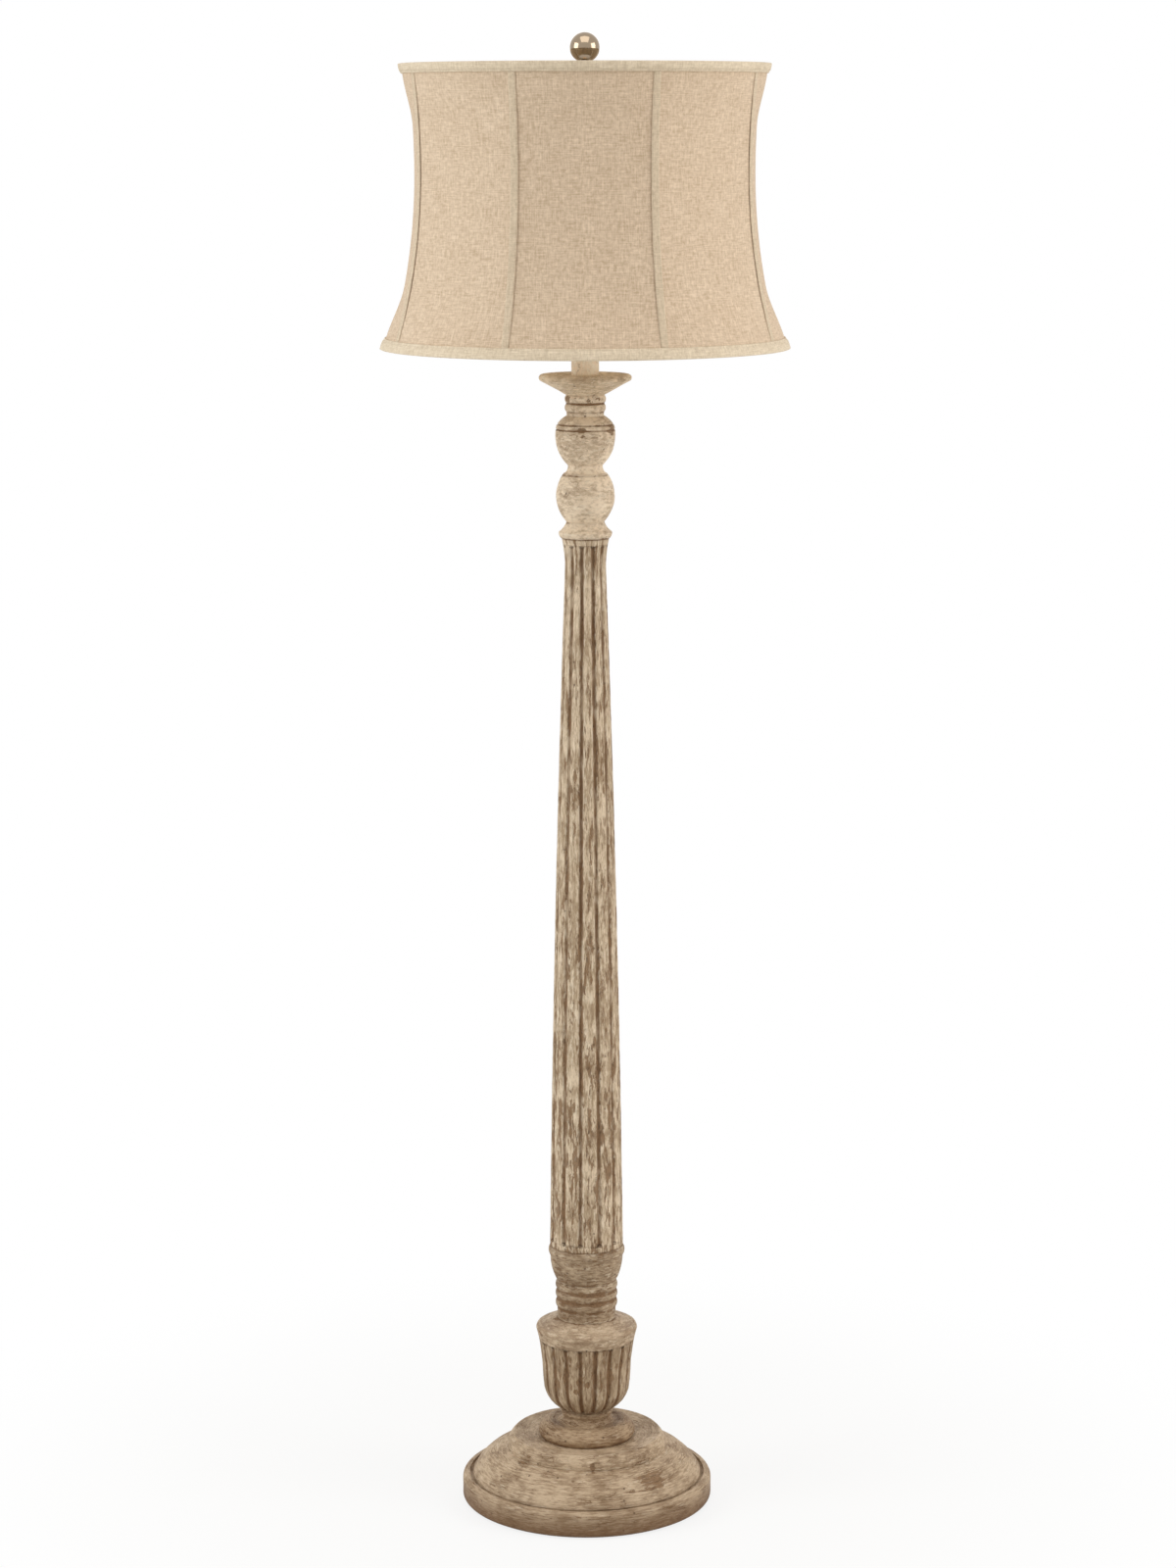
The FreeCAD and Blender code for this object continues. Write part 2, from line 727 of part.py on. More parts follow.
# ================================================================ harp
def harp_saddle():
    outer = harp_foot_offset
    end = V(-outer, -0.5 * saddle_width, saddle_foot)
    strap = Part.makeBox(2 * outer, saddle_width, saddle_thickness, end)
    ears = []
    for x in (-outer, outer - saddle_thickness):
        corner = V(x, -0.5 * saddle_ear_width, saddle_foot)
        height = saddle_thickness + saddle_ear_height
        ears.append(Part.makeBox(saddle_thickness, saddle_ear_width, height, corner))
    hole = Part.makeCylinder(pipe_hole, saddle_thickness, V(0, 0, saddle_foot), UP)
    return strap.fuse(ears).removeSplitter().cut(hole)


def harp_leg():
    """Edges of the right leg, foot first: straight, an S bend out to the widest point, then two arcs over."""
    foot = V(harp_foot_offset, 0, harp_foot)
    knee = foot + V(0, 0, harp_straight_leg)
    widest = V(harp_half_width, 0, saddle_foot + harp_widest_height)
    rise, run = widest.z - knee.z, widest.x - knee.x
    bend = (run**2 + rise**2) / (4 * run)
    half_turn = 0.5 * math.asin(0.5 * rise / bend)
    aside, along = bend * (1 - math.cos(half_turn)), bend * math.sin(half_turn)
    sway = (knee + widest) * 0.5
    drop = harp_crown - harp_crown_radius - widest.z
    side_radius = (widest.x**2 + drop**2 - harp_crown_radius**2) / (2 * (widest.x - harp_crown_radius))
    side_centre = V(widest.x - side_radius, 0, widest.z)
    crown_centre = V(0, 0, harp_crown - harp_crown_radius)
    out = (crown_centre - side_centre).normalize()
    angle = math.atan2(out.z, out.x)

    def on(centre, radius, turn):
        return centre + V(math.cos(turn), 0, math.sin(turn)) * radius

    join = on(crown_centre, harp_crown_radius, angle)
    over = on(crown_centre, harp_crown_radius, 0.5 * (angle + 0.5 * math.pi))
    return [
        Part.makeLine(foot, knee),
        Part.Arc(knee, V(knee.x + aside, 0, knee.z + along), sway).toShape(),
        Part.Arc(sway, V(widest.x - aside, 0, widest.z - along), widest).toShape(),
        Part.Arc(widest, on(side_centre, side_radius, 0.5 * angle), join).toShape(),
        Part.Arc(join, over, V(0, 0, harp_crown)).toShape(),
    ]


def harp_wire():
    leg = rod(harp_leg(), harp_wire_radius)
    bow = leg.fuse(leg.mirror(AXIS_POINT, V(1, 0, 0))).removeSplitter()
    lap = saddle_foot + saddle_thickness + saddle_ear_height + harp_lap_over - harp_foot
    thick = 2 * harp_wire_radius
    flats = []
    for x in (-harp_foot_offset - turn_gap, harp_foot_offset + turn_gap - thick):
        flats.append(Part.makeBox(thick, thick, lap, V(x, -harp_wire_radius, harp_foot)))
    return bow.cut(flats)


def ferrule(side):
    outer = ferrule_bore_radius + ferrule_wall
    solid = tube(outer, ferrule_bore_radius, socket_foot + seat_gap, ferrule_length)
    solid.translate(V(side * harp_foot_offset, 0, 0))
    return solid


def harp_stud(wire):
    collar_foot_point = V(0, 0, spider_foot - stud_collar_height)
    collar = Part.makeCylinder(stud_collar_radius, stud_collar_height, collar_foot_point, UP)
    thread = Part.makeCylinder(stud_radius, stud_length, V(0, 0, spider_foot), UP)
    return collar.fuse(thread).cut(wire)


# ================================================================ socket and switch
def socket_cap():
    outside = socket_radius + seat_gap + socket_sheet
    rim = socket_foot + socket_cap_height
    bend = rim - socket_cap_lip
    bore = pipe_radius + turn_gap
    floor = socket_foot + socket_cap_hub_height - socket_cap_floor
    outline = Outline(bore, socket_foot)
    outline.line(socket_cap_hub_radius, socket_foot)
    outline.arc(outside, bend, socket_cap_swell)
    outline.line(outside, rim)
    outline.line(outside - socket_sheet, rim)
    outline.line(outside - socket_sheet, bend)
    outline.arc(socket_cap_hub_radius, floor, -socket_cap_swell)
    outline.line(bore, floor)
    return outline.turned()


def switch_bore(radius):
    """Round hole for the switch, from the middle of the socket out to the front."""
    return Part.makeCylinder(radius, 2 * socket_radius, V(0, 0, switch_axis), FRONT)


def socket_shell():
    shell = tube(socket_radius, socket_radius - socket_sheet, socket_shell_foot, socket_shell_height)
    return shell.cut(switch_bore(knob_collar_radius + seat_gap))


def socket_liner():
    outer = socket_radius - socket_sheet - seat_gap
    shell = tube(outer, outer - socket_liner_wall, socket_shell_foot, socket_shell_height)
    return shell.cut(switch_bore(knob_collar_radius + seat_gap))


def socket_body():
    radius = socket_radius - socket_sheet - 2 * seat_gap - socket_liner_wall
    outline = Outline(0, socket_body_foot)
    outline.line(radius - socket_body_taper, socket_body_foot)
    outline.line(radius, socket_body_foot + socket_body_taper)
    outline.line(radius, socket_body_top)
    outline.line(0, socket_body_top)
    return outline.turned().cut(switch_bore(switch_shaft_radius + turn_gap))


def socket_screw_shell():
    inner = screw_shell_radius - screw_shell_wall
    return tube(screw_shell_radius, inner, socket_body_top, screw_shell_height)


def socket_contact():
    return Part.makeCylinder(contact_radius, contact_height, V(0, 0, socket_body_top), UP)


def switch_shaft():
    length = socket_radius + knob_gap - switch_shaft_inside
    inner_end = V(0, -switch_shaft_inside, switch_axis)
    return Part.makeCylinder(switch_shaft_radius, length, inner_end, FRONT)


def switch_knob():
    near = socket_radius + knob_gap
    collar = Part.makeCylinder(knob_collar_radius, knob_collar_length, V(0, -near, switch_axis), FRONT)
    far = near + knob_length
    blade_length = knob_length - knob_collar_length + knob_lap
    corner = V(-0.5 * knob_width, -far, switch_axis - 0.5 * knob_thickness)
    blade = Part.makeBox(knob_width, blade_length, knob_thickness, corner)
    upright = [e for e in blade.Edges if abs(e.tangentAt(e.FirstParameter).z) > 0.5]
    tip = [e for e in upright if e.CenterOfMass.y < -near - knob_collar_length]
    blade = blade.makeFillet(knob_round, tip)
    return collar.fuse(blade)


# ================================================================ bulb
def bulb_tip():
    return Part.makeCylinder(bulb_tip_radius, bulb_tip_height, V(0, 0, bulb_tip_foot), UP)


def bulb_insulator():
    foot = V(0, 0, bulb_tip_foot + bulb_tip_height)
    radii = bulb_insulator_foot_radius, bulb_insulator_top_radius
    return Part.makeCone(*radii, bulb_insulator_height, foot, UP)


def bulb_cap():
    outer = screw_shell_radius - screw_shell_wall - turn_gap
    floor = bulb_cap_foot + bulb_cap_wall
    outline = Outline(0, bulb_cap_foot)
    outline.line(bulb_insulator_top_radius, bulb_cap_foot)
    outline.line(outer, bulb_cap_foot + bulb_cap_taper)
    outline.line(outer, bulb_cap_top)
    outline.line(outer - bulb_cap_wall, bulb_cap_top)
    outline.line(outer - bulb_cap_wall, bulb_cap_foot + bulb_cap_taper)
    outline.line(bulb_insulator_top_radius - bulb_cap_wall, floor)
    outline.line(0, floor)
    return outline.turned()


def bulb_envelope(shrink):
    """Solid filling the glass to its outside, or to its inside when shrunk by the wall."""
    neck = screw_shell_radius - screw_shell_wall - turn_gap - shrink
    radius = bulb_radius - shrink
    centre = bulb_cap_top + bulb_length - bulb_radius
    joint = math.radians(-bulb_joint_angle)
    meet = V(radius * math.cos(joint), 0, centre + radius * math.sin(joint))
    outline = Outline(0, bulb_cap_top)
    outline.line(neck, bulb_cap_top)
    outline.line(neck, bulb_cap_top + bulb_neck_height)
    outline.arc(meet.x, meet.z, -bulb_neck_hollow)
    outline.through(V(radius, 0, centre), V(radius * math.cos(-joint), 0, centre - radius * math.sin(joint)))
    outline.flow(0, centre + radius)
    return outline.turned()


def bulb_glass():
    return bulb_envelope(0).cut(bulb_envelope(bulb_wall))


# ================================================================ shade
def flare_radius(run, rise):
    """Radius of the arc that leaves the waist upright and gets out by the run over the rise."""
    return (run**2 + rise**2) / (2 * run)


upper_flare = flare_radius(shade_top_flare, shade_top - shade_waist)
lower_flare = flare_radius(shade_bottom_flare, shade_waist - shade_foot)


def shade_radius(z):
    """Radius through the seams at a height."""
    flare = upper_flare if z > shade_waist else lower_flare
    return shade_waist_radius + flare - math.sqrt(flare**2 - (z - shade_waist) ** 2)


def seam_edges(inset, low, high):
    """Two arcs that follow the seam line from a low to a high level, moved in by the inset."""
    edges = []
    for flare, start, end in ((lower_flare, low, shade_waist), (upper_flare, shade_waist, high)):
        radius = flare + inset
        centre = shade_waist_radius + flare

        def at(z):
            return V(centre - math.sqrt(radius**2 - (z - shade_waist) ** 2), 0, z)

        edges.append(Part.Arc(at(start), at(0.5 * (start + end)), at(end)).toShape())
    return edges


def panel_dip(z):
    """Share by which the middle of a panel lies inside the seam radius. It fades out towards the trims."""
    low, high = shade_foot + bottom_trim_height, shade_top - top_trim_height
    share = min(z - low, high - z) / ((high - low) * shade_panel_ease)
    share = max(0.0, min(1.0, share))
    return shade_panel_flatness * share * share * (3 - 2 * share)


def shade_levels():
    """Heights of the shade's sections, closer together where the panels turn from round to flat."""
    low, high = shade_foot + bottom_trim_height, shade_top - top_trim_height
    return [shade_foot] + [low + (high - low) * share for share in shade_level_shares] + [shade_top]


def panel_arc(z, inset, start, stop):
    """Arc of a shade section between two angles in degrees, flattened in its middle."""
    radius = shade_radius(z)
    middle_radius = radius * (1 - panel_dip(z))

    def at(r, angle):
        turn = math.radians(angle)
        return V((r - inset) * math.cos(turn), (r - inset) * math.sin(turn), z)

    return Part.Arc(at(radius, start), at(middle_radius, 0.5 * (start + stop)), at(radius, stop)).toShape()


def shade_skin(outside, wall, start, stop):
    """Cloth from one angle to another. Its outside is moved in from the seam surface."""
    sections = []
    for z in shade_levels():
        outer = panel_arc(z, outside, start, stop)
        inner = panel_arc(z, outside + wall, stop, start)
        corners = [e.valueAt(p) for e in (outer, inner) for p in (e.FirstParameter, e.LastParameter)]
        sides = Part.makeLine(corners[1], corners[2]), Part.makeLine(corners[3], corners[0])
        sections.append(Part.Wire([outer, sides[0], inner, sides[1]]))
    return Part.makeLoft(sections, True, False)


def shade_panel():
    """One cloth panel, between the seams either side of +X."""
    half = 180.0 / shade_panel_count
    return shade_skin(0, shade_cloth, -half, half)


lining_inset = shade_cloth + 2 * seat_gap + 2 * shade_ring_wire_radius


def shade_lining():
    half = 180.0 / shade_panel_count
    gore = shade_skin(lining_inset, shade_lining_cloth, -half, half)
    gores = around(gore, shade_panel_count)
    return gores[0].fuse(gores[1:]).cut(spider_arms(spider_arm_wire_radius + seat_gap))


def ring_radius(z):
    """Radius to the middle of a ring wire that lies inside the cloth at a height."""
    return shade_radius(z) - shade_cloth - seat_gap - shade_ring_wire_radius


def ring_wire(z):
    return Part.makeTorus(ring_radius(z), shade_ring_wire_radius, V(0, 0, z), UP)


def top_ring():
    return ring_wire(top_ring_height)


def bottom_ring():
    return ring_wire(shade_foot + shade_ring_wire_radius)


def shade_ribs():
    inset = shade_cloth + seat_gap + shade_rib_wire_radius
    edges = seam_edges(inset, shade_foot + shade_ring_wire_radius, top_ring_height)
    rib = rod(edges, shade_rib_wire_radius).cut([top_ring(), bottom_ring()])
    rib = max(rib.Solids, key=lambda s: s.Volume)
    return Part.makeCompound(around(rib, shade_panel_count, 180.0 / shade_panel_count))


def seam_strips():
    low = shade_foot + bottom_trim_height + seat_gap
    high = shade_top - top_trim_height - seat_gap
    inner = seam_edges(-seat_gap, low, high)
    outer = seam_edges(-seat_gap - seam_thickness, low, high)
    foot = Part.makeLine(inner[0].valueAt(inner[0].FirstParameter), outer[0].valueAt(outer[0].FirstParameter))
    head = Part.makeLine(inner[1].valueAt(inner[1].LastParameter), outer[1].valueAt(outer[1].LastParameter))
    face = Part.Face(Part.Wire(Part.sortEdges([foot, head] + inner + outer)[0]))
    width = math.degrees(seam_width / shade_waist_radius)
    strip = face.revolve(AXIS_POINT, UP, width)
    strip.rotate(AXIS_POINT, UP, -0.5 * width)
    return Part.makeCompound(around(strip, shade_panel_count, 180.0 / shade_panel_count))


def trim(open_side, edge):
    """Cloth binding folded over a rim of the shade. It is closed beyond the edge."""
    side = 1 if edge > open_side else -1
    fold = edge + side * seat_gap
    crown = fold + side * trim_crown
    reach = lining_inset + shade_lining_cloth + seat_gap
    outline = Outline(shade_radius(open_side) + seat_gap, open_side)
    outline.line(outline.points[-1].x + trim_edge_thickness, open_side)
    outline.arc(shade_radius(edge) + trim_thickness, crown, side * trim_roll)
    outline.line(shade_radius(edge) - reach - trim_inside_thickness, crown)
    outline.line(shade_radius(open_side) - reach - trim_inside_thickness, open_side)
    outline.line(shade_radius(open_side) - reach, open_side)
    outline.line(shade_radius(edge) - reach, fold)
    outline.line(shade_radius(edge) + seat_gap, fold)
    return outline.turned()


def top_trim():
    binding = trim(shade_top - top_trim_height, shade_top)
    return binding.cut(spider_arms(spider_arm_wire_radius + seat_gap))


def bottom_trim():
    return trim(shade_foot + bottom_trim_height, shade_foot)


def spider_arms(radius):
    """Straight arms from the middle of the washer's rim out to the top ring."""
    start = V(spider_washer_radius - spider_arm_lap, 0, spider_foot + 0.5 * spider_washer_thickness)
    end = V(ring_radius(top_ring_height), 0, top_ring_height)
    arm = Part.makeCylinder(radius, start.distanceToPoint(end), start, end - start)
    return around(arm, spider_arm_count, 90)


def shade_spider():
    washer = tube(spider_washer_radius, stud_radius + 2 * turn_gap, spider_foot, spider_washer_thickness)
    below = Part.makeCylinder(spider_washer_radius, shade_height, V(0, 0, spider_foot - shade_height), UP)
    above = Part.makeCylinder(spider_washer_radius, shade_height, V(0, 0, spider_top), UP)
    arms = [arm.cut([top_ring(), below, above]) for arm in spider_arms(spider_arm_wire_radius)]
    return washer.fuse([max(arm.Solids, key=lambda s: s.Volume) for arm in arms])


# ================================================================ finial
def finial_bore():
    return Part.makeCylinder(stud_radius + turn_gap, finial_thread_depth, V(0, 0, finial_foot), UP)


def finial_ball():
    return Part.makeSphere(finial_ball_radius, V(0, 0, finial_ball_centre)).cut(finial_bore())


def finial_base():
    meet = finial_ball_centre - math.sqrt(finial_ball_radius**2 - finial_waist_radius**2)
    rim_top = finial_foot + finial_rim_height
    outline = Outline(0, finial_foot)
    outline.line(finial_base_radius, finial_foot)
    outline.arc(finial_base_radius, rim_top, finial_rim_swell)
    outline.arc(finial_waist_radius, meet, -finial_neck_hollow)
    outline.line(0, meet)
    ball = Part.makeSphere(finial_ball_radius, V(0, 0, finial_ball_centre))
    return outline.turned().cut([finial_bore(), ball])


# ================================================================ build
def build():
    wire = harp_wire()
    nodes = {
        "base_felt": base_felt(),
        "base_plinth": base_plinth(),
        "base_tier": base_tier(),
        "base_collar": base_collar(),
        "base_weight": base_weight(),
        "weight_screws": weight_screws(),
        "cord_bushing": cord_bushing(),
        "bottom_washer": bottom_washer(),
        "bottom_nut": hex_nut(bottom_nut_foot, bottom_nut_height),
        "lamp_pipe": lamp_pipe(),
        "urn": urn(),
        "lower_neck": lower_neck(),
        "shaft_cup": shaft_cup(),
        "shaft": shaft(),
        "capital": capital(),
        "lower_ball": lower_ball(),
        "upper_ball": upper_ball(),
        "upper_neck": upper_neck(),
        "drip_dish": drip_dish(),
        "candle_sleeve": candle_sleeve(),
        "sleeve_cap": sleeve_cap(),
        "top_nut": hex_nut(top_nut_foot, top_nut_height),
        "harp_saddle": harp_saddle(),
        "harp_wire": wire,
        "harp_stud": harp_stud(wire),
        "ferrule_left": ferrule(-1),
        "ferrule_right": ferrule(1),
        "socket_cap": socket_cap(),
        "socket_shell": socket_shell(),
        "socket_liner": socket_liner(),
        "socket_body": socket_body(),
        "socket_screw_shell": socket_screw_shell(),
        "socket_contact": socket_contact(),
        "switch_shaft": switch_shaft(),
        "switch_knob": switch_knob(),
        "bulb_tip": bulb_tip(),
        "bulb_insulator": bulb_insulator(),
        "bulb_cap": bulb_cap(),
        "bulb_glass": bulb_glass(),
        "shade_lining": shade_lining(),
        "shade_top_ring": top_ring(),
        "shade_bottom_ring": bottom_ring(),
        "shade_ribs": shade_ribs(),
        "shade_spider": shade_spider(),
        "shade_top_trim": top_trim(),
        "shade_bottom_trim": bottom_trim(),
        "seam_strips": seam_strips(),
        "finial_base": finial_base(),
        "finial_ball": finial_ball(),
    }
    for number, panel in enumerate(around(shade_panel(), shade_panel_count)):
        nodes["shade_panel_%d" % (number + 1)] = panel
    for name, shape in nodes.items():
        export(name, shape)


os.makedirs("parts", exist_ok=True)
build()
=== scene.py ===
import math

import bpy
import numpy as np
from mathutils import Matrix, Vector, noise


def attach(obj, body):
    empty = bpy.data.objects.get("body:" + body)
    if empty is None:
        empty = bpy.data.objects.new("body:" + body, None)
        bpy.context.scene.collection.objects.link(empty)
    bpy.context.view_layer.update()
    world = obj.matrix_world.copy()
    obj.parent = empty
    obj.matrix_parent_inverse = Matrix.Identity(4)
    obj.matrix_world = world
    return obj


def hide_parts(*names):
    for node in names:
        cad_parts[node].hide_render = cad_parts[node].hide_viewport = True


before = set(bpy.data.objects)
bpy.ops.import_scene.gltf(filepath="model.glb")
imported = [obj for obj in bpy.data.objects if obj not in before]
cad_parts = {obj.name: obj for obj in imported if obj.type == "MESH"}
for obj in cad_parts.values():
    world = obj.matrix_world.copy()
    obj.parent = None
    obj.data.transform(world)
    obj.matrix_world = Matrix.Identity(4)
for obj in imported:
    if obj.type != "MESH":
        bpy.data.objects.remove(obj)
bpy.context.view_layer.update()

print("frame loaded:", len(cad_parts), "nodes")


# colours are written as they look on screen, 0 to 255
def screen(r, g, b):
    def linear(c):
        c /= 255
        return c / 12.92 if c <= 0.04045 else ((c + 0.055) / 1.055) ** 2.4
    return (linear(r), linear(g), linear(b), 1.0)


# small helpers for shader nodes
class Shader:
    def __init__(self, tree):
        self.tree = tree
        self.count = 0

    def add(self, kind, **values):
        node = self.tree.nodes.new(kind)
        node.location = (220 * (self.count % 9), -240 * (self.count // 9))
        self.count += 1
        for key, value in values.items():
            if hasattr(node, key):
                setattr(node, key, value)
        return node

    def feed(self, socket, value):
        if isinstance(value, bpy.types.NodeSocket):
            self.tree.links.new(value, socket)
        else:
            socket.default_value = value

    def math(self, operation, a, b=0.0, clamp=False):
        node = self.add("ShaderNodeMath", operation=operation, use_clamp=clamp)
        self.feed(node.inputs[0], a)
        self.feed(node.inputs[1], b)
        return node.outputs[0]

    def vector(self, operation, a, b=(0, 0, 0)):
        node = self.add("ShaderNodeVectorMath", operation=operation)
        self.feed(node.inputs[0], a)
        self.feed(node.inputs[1], b)
        return node.outputs[0]

    def ramp(self, value, low, high, smooth=True):  # 0 below low, 1 above high
        node = self.add("ShaderNodeMapRange", interpolation_type="SMOOTHSTEP" if smooth else "LINEAR")
        self.feed(node.inputs["Value"], value)
        self.feed(node.inputs["From Min"], low)
        self.feed(node.inputs["From Max"], high)
        return node.outputs["Result"]

    def mix(self, amount, a, b):
        node = self.add("ShaderNodeMix", data_type="RGBA", clamp_factor=True)
        self.feed(node.inputs[0], amount)
        self.feed(node.inputs[6], a)
        self.feed(node.inputs[7], b)
        return node.outputs[2]

    def noise(self, vector, scale, detail=3.0, roughness=0.55, distortion=0.0):
        node = self.add("ShaderNodeTexNoise")
        self.feed(node.inputs["Vector"], vector)
        self.feed(node.inputs["Scale"], scale)
        node.inputs["Detail"].default_value = detail
        node.inputs["Roughness"].default_value = roughness
        node.inputs["Distortion"].default_value = distortion
        return node.outputs["Fac"]

    def attribute(self, name, output="Fac"):
        return self.add("ShaderNodeAttribute", attribute_name=name).outputs[output]

    def group(self, tree, **values):
        node = self.add("ShaderNodeGroup")
        node.node_tree = tree
        for name, value in values.items():
            self.feed(node.inputs[name], value)
        return node.outputs


def newGroup(name, inputs, outputs):
    tree = bpy.data.node_groups.new(name, "ShaderNodeTree")
    for label, kind, value in inputs:
        socket = tree.interface.new_socket(label, in_out="INPUT", socket_type="NodeSocket" + kind)
        socket.default_value = value
    for label, kind in outputs:
        tree.interface.new_socket(label, in_out="OUTPUT", socket_type="NodeSocket" + kind)
    shader = Shader(tree)
    return shader, shader.add("NodeGroupInput").outputs, shader.add("NodeGroupOutput").inputs


# coordinates that run round a turned piece, stretched along the cut of the tool
def makeTurnedCoordinates():
    s, given, out = newGroup("turnedCoordinates", [("Around", "Float", 20.0), ("Along", "Float", 200.0)],
                             [("Vector", "Vector")])
    place = s.add("ShaderNodeTexCoord").outputs["Object"]
    split = s.add("ShaderNodeSeparateXYZ")
    s.feed(split.inputs[0], place)
    angle = s.math("ARCTAN2", split.outputs[1], split.outputs[0])
    join = s.add("ShaderNodeCombineXYZ")
    s.feed(join.inputs[0], s.math("MULTIPLY", s.math("COSINE", angle), given["Around"]))
    s.feed(join.inputs[1], s.math("MULTIPLY", s.math("SINE", angle), given["Around"]))
    s.feed(join.inputs[2], s.math("MULTIPLY", s.attribute("run"), given["Along"]))
    s.feed(out["Vector"], join.outputs[0])
    return s.tree


# where old paint has gone: broad patches broken up by fine flakes, helped along in hollows and on ridges
def makePaintWear():
    s, given, out = newGroup(
        "paintWear",
        [("Vector", "Vector", (0, 0, 0)), ("Patch", "Float", 1.0), ("Flake", "Float", 8.0),
         ("Amount", "Float", 0.5), ("Softness", "Float", 0.05), ("Help", "Float", 0.0)],
        [("Worn", "Float")])
    patch = s.noise(given["Vector"], given["Patch"], 3.0, 0.6, 0.4)
    flake = s.noise(given["Vector"], given["Flake"], 5.0, 0.72, 0.6)
    level = s.math("ADD", s.math("MULTIPLY", patch, 0.55), s.math("MULTIPLY", flake, 0.45))
    level = s.math("ADD", level, given["Help"])
    edge = s.math("SUBTRACT", 1.0, given["Amount"])
    low = s.math("SUBTRACT", edge, given["Softness"])
    high = s.math("ADD", edge, given["Softness"])
    s.feed(out["Worn"], s.ramp(level, low, high))
    return s.tree


# fine lines left by the brush and by cracks that follow it
def makeBrushLines():
    s, given, out = newGroup(
        "brushLines",
        [("Vector", "Vector", (0, 0, 0)), ("Fine", "Float", 1.0), ("Crack", "Float", 0.3)],
        [("Line", "Float"), ("Crack", "Float")])
    crackWidth = 0.022
    s.feed(out["Line"], s.noise(given["Vector"], given["Fine"], 4.0, 0.65, 0.2))
    broken = s.noise(given["Vector"], given["Crack"], 3.0, 0.6, 0.7)
    away = s.math("ABSOLUTE", s.math("SUBTRACT", broken, 0.5))
    s.feed(out["Crack"], s.math("SUBTRACT", 1.0, s.ramp(away, 0.0, crackWidth)))
    return s.tree


# pin holes and dark flecks
def makeFlecks():
    s, given, out = newGroup(
        "flecks",
        [("Vector", "Vector", (0, 0, 0)), ("Scale", "Float", 90.0), ("Size", "Float", 0.2)],
        [("Fleck", "Float")])
    emptyShare = 0.72  # cells without a fleck
    cells = s.add("ShaderNodeTexVoronoi")
    s.feed(cells.inputs["Vector"], given["Vector"])
    s.feed(cells.inputs["Scale"], given["Scale"])
    cells.inputs["Randomness"].default_value = 1.0
    split = s.add("ShaderNodeSeparateColor")
    s.feed(split.inputs[0], cells.outputs["Color"])
    chosen = s.math("GREATER_THAN", split.outputs[0], emptyShare)
    core = s.math("MULTIPLY", given["Size"], 0.5)
    near = s.math("SUBTRACT", 1.0, s.ramp(cells.outputs["Distance"], core, given["Size"]))
    s.feed(out["Fleck"], s.math("MULTIPLY", near, chosen))
    return s.tree


# plain weave with slubs: threads too fine to count from a step away, thicker yarns that show
weaveStyle = dict(wobble=90.0, wobbleAmount=3.0, slubs=((60.0, 900.0, 1.0), (800.0, 70.0, 1.0)),
                  cloud=240.0, broad=34.0, shares=(0.58, 0.34, 0.08), toneRange=(0.41, 0.59),
                  fleck=(150.0, 700.0, 1.0), fleckRange=(0.66, 0.74), threadHeight=0.35)


def makeWeave():
    s, given, out = newGroup("weave", [("Vector", "Vector", (0, 0, 0)), ("Pitch", "Float", 0.0007)],
                             [("Height", "Float"), ("Tone", "Float"), ("Fleck", "Float")])
    w = weaveStyle
    wobble = s.noise(given["Vector"], w["wobble"], 2.0)
    split = s.add("ShaderNodeSeparateXYZ")
    s.feed(split.inputs[0], given["Vector"])
    threads = []
    for axis in (0, 1):
        turns = s.math("DIVIDE", split.outputs[axis], given["Pitch"])
        shift = s.math("MULTIPLY", wobble, w["wobbleAmount"])
        wave = s.math("SINE", s.math("ADD", s.math("MULTIPLY", turns, math.pi), shift))
        threads.append(s.math("MULTIPLY", wave, wave))
    slubs = [s.vector("MULTIPLY", given["Vector"], stretch) for stretch in w["slubs"]]
    slubs = [s.noise(place, 1.0, 3.0, 0.6) for place in slubs]
    cross = s.math("MULTIPLY", s.math("ADD", slubs[0], slubs[1]), 0.5)
    cloud = s.noise(given["Vector"], w["cloud"], 4.0, 0.7)
    broad = s.noise(given["Vector"], w["broad"], 3.0, 0.6)
    parts = [s.math("MULTIPLY", mark, share) for mark, share in zip((cross, cloud, broad), w["shares"])]
    tone = s.math("ADD", s.math("ADD", parts[0], parts[1]), parts[2])
    s.feed(out["Tone"], s.ramp(tone, *w["toneRange"], False))
    fleck = s.noise(s.vector("MULTIPLY", given["Vector"], w["fleck"]), 1.0, 2.0, 0.5)
    s.feed(out["Fleck"], s.ramp(fleck, *w["fleckRange"]))
    height = s.math("MULTIPLY", s.math("ADD", threads[0], threads[1]), w["threadHeight"])
    s.feed(out["Height"], s.math("ADD", height, cross))
    return s.tree


# soft grime that gathers in hollows, together with painted shade in creases and between parts
def makeGrimeAndShade():
    s, given, out = newGroup(
        "grimeAndShade", [("Hollow", "Float", 0.0), ("Strength", "Float", 1.0), ("Scale", "Float", 40.0)],
        [("GrimeAndShade", "Float")])
    place = s.add("ShaderNodeTexCoord").outputs["Object"]
    cloud = s.noise(place, given["Scale"], 4.0, 0.6)
    spread = s.math("MULTIPLY", given["Hollow"], s.math("ADD", 0.55, cloud))
    s.feed(out["GrimeAndShade"], s.math("MULTIPLY", spread, given["Strength"], True))
    return s.tree


turnedCoordinates = makeTurnedCoordinates()
paintWear = makePaintWear()
brushLines = makeBrushLines()
flecks = makeFlecks()
weave = makeWeave()
grimeAndShade = makeGrimeAndShade()


def newMaterial(name):
    material = bpy.data.materials.new(name)
    material.use_nodes = True
    material.node_tree.nodes.clear()
    s = Shader(material.node_tree)
    surface = s.add("ShaderNodeBsdfPrincipled")
    output = s.add("ShaderNodeOutputMaterial")
    s.feed(output.inputs["Surface"], surface.outputs[0])
    return material, s, surface


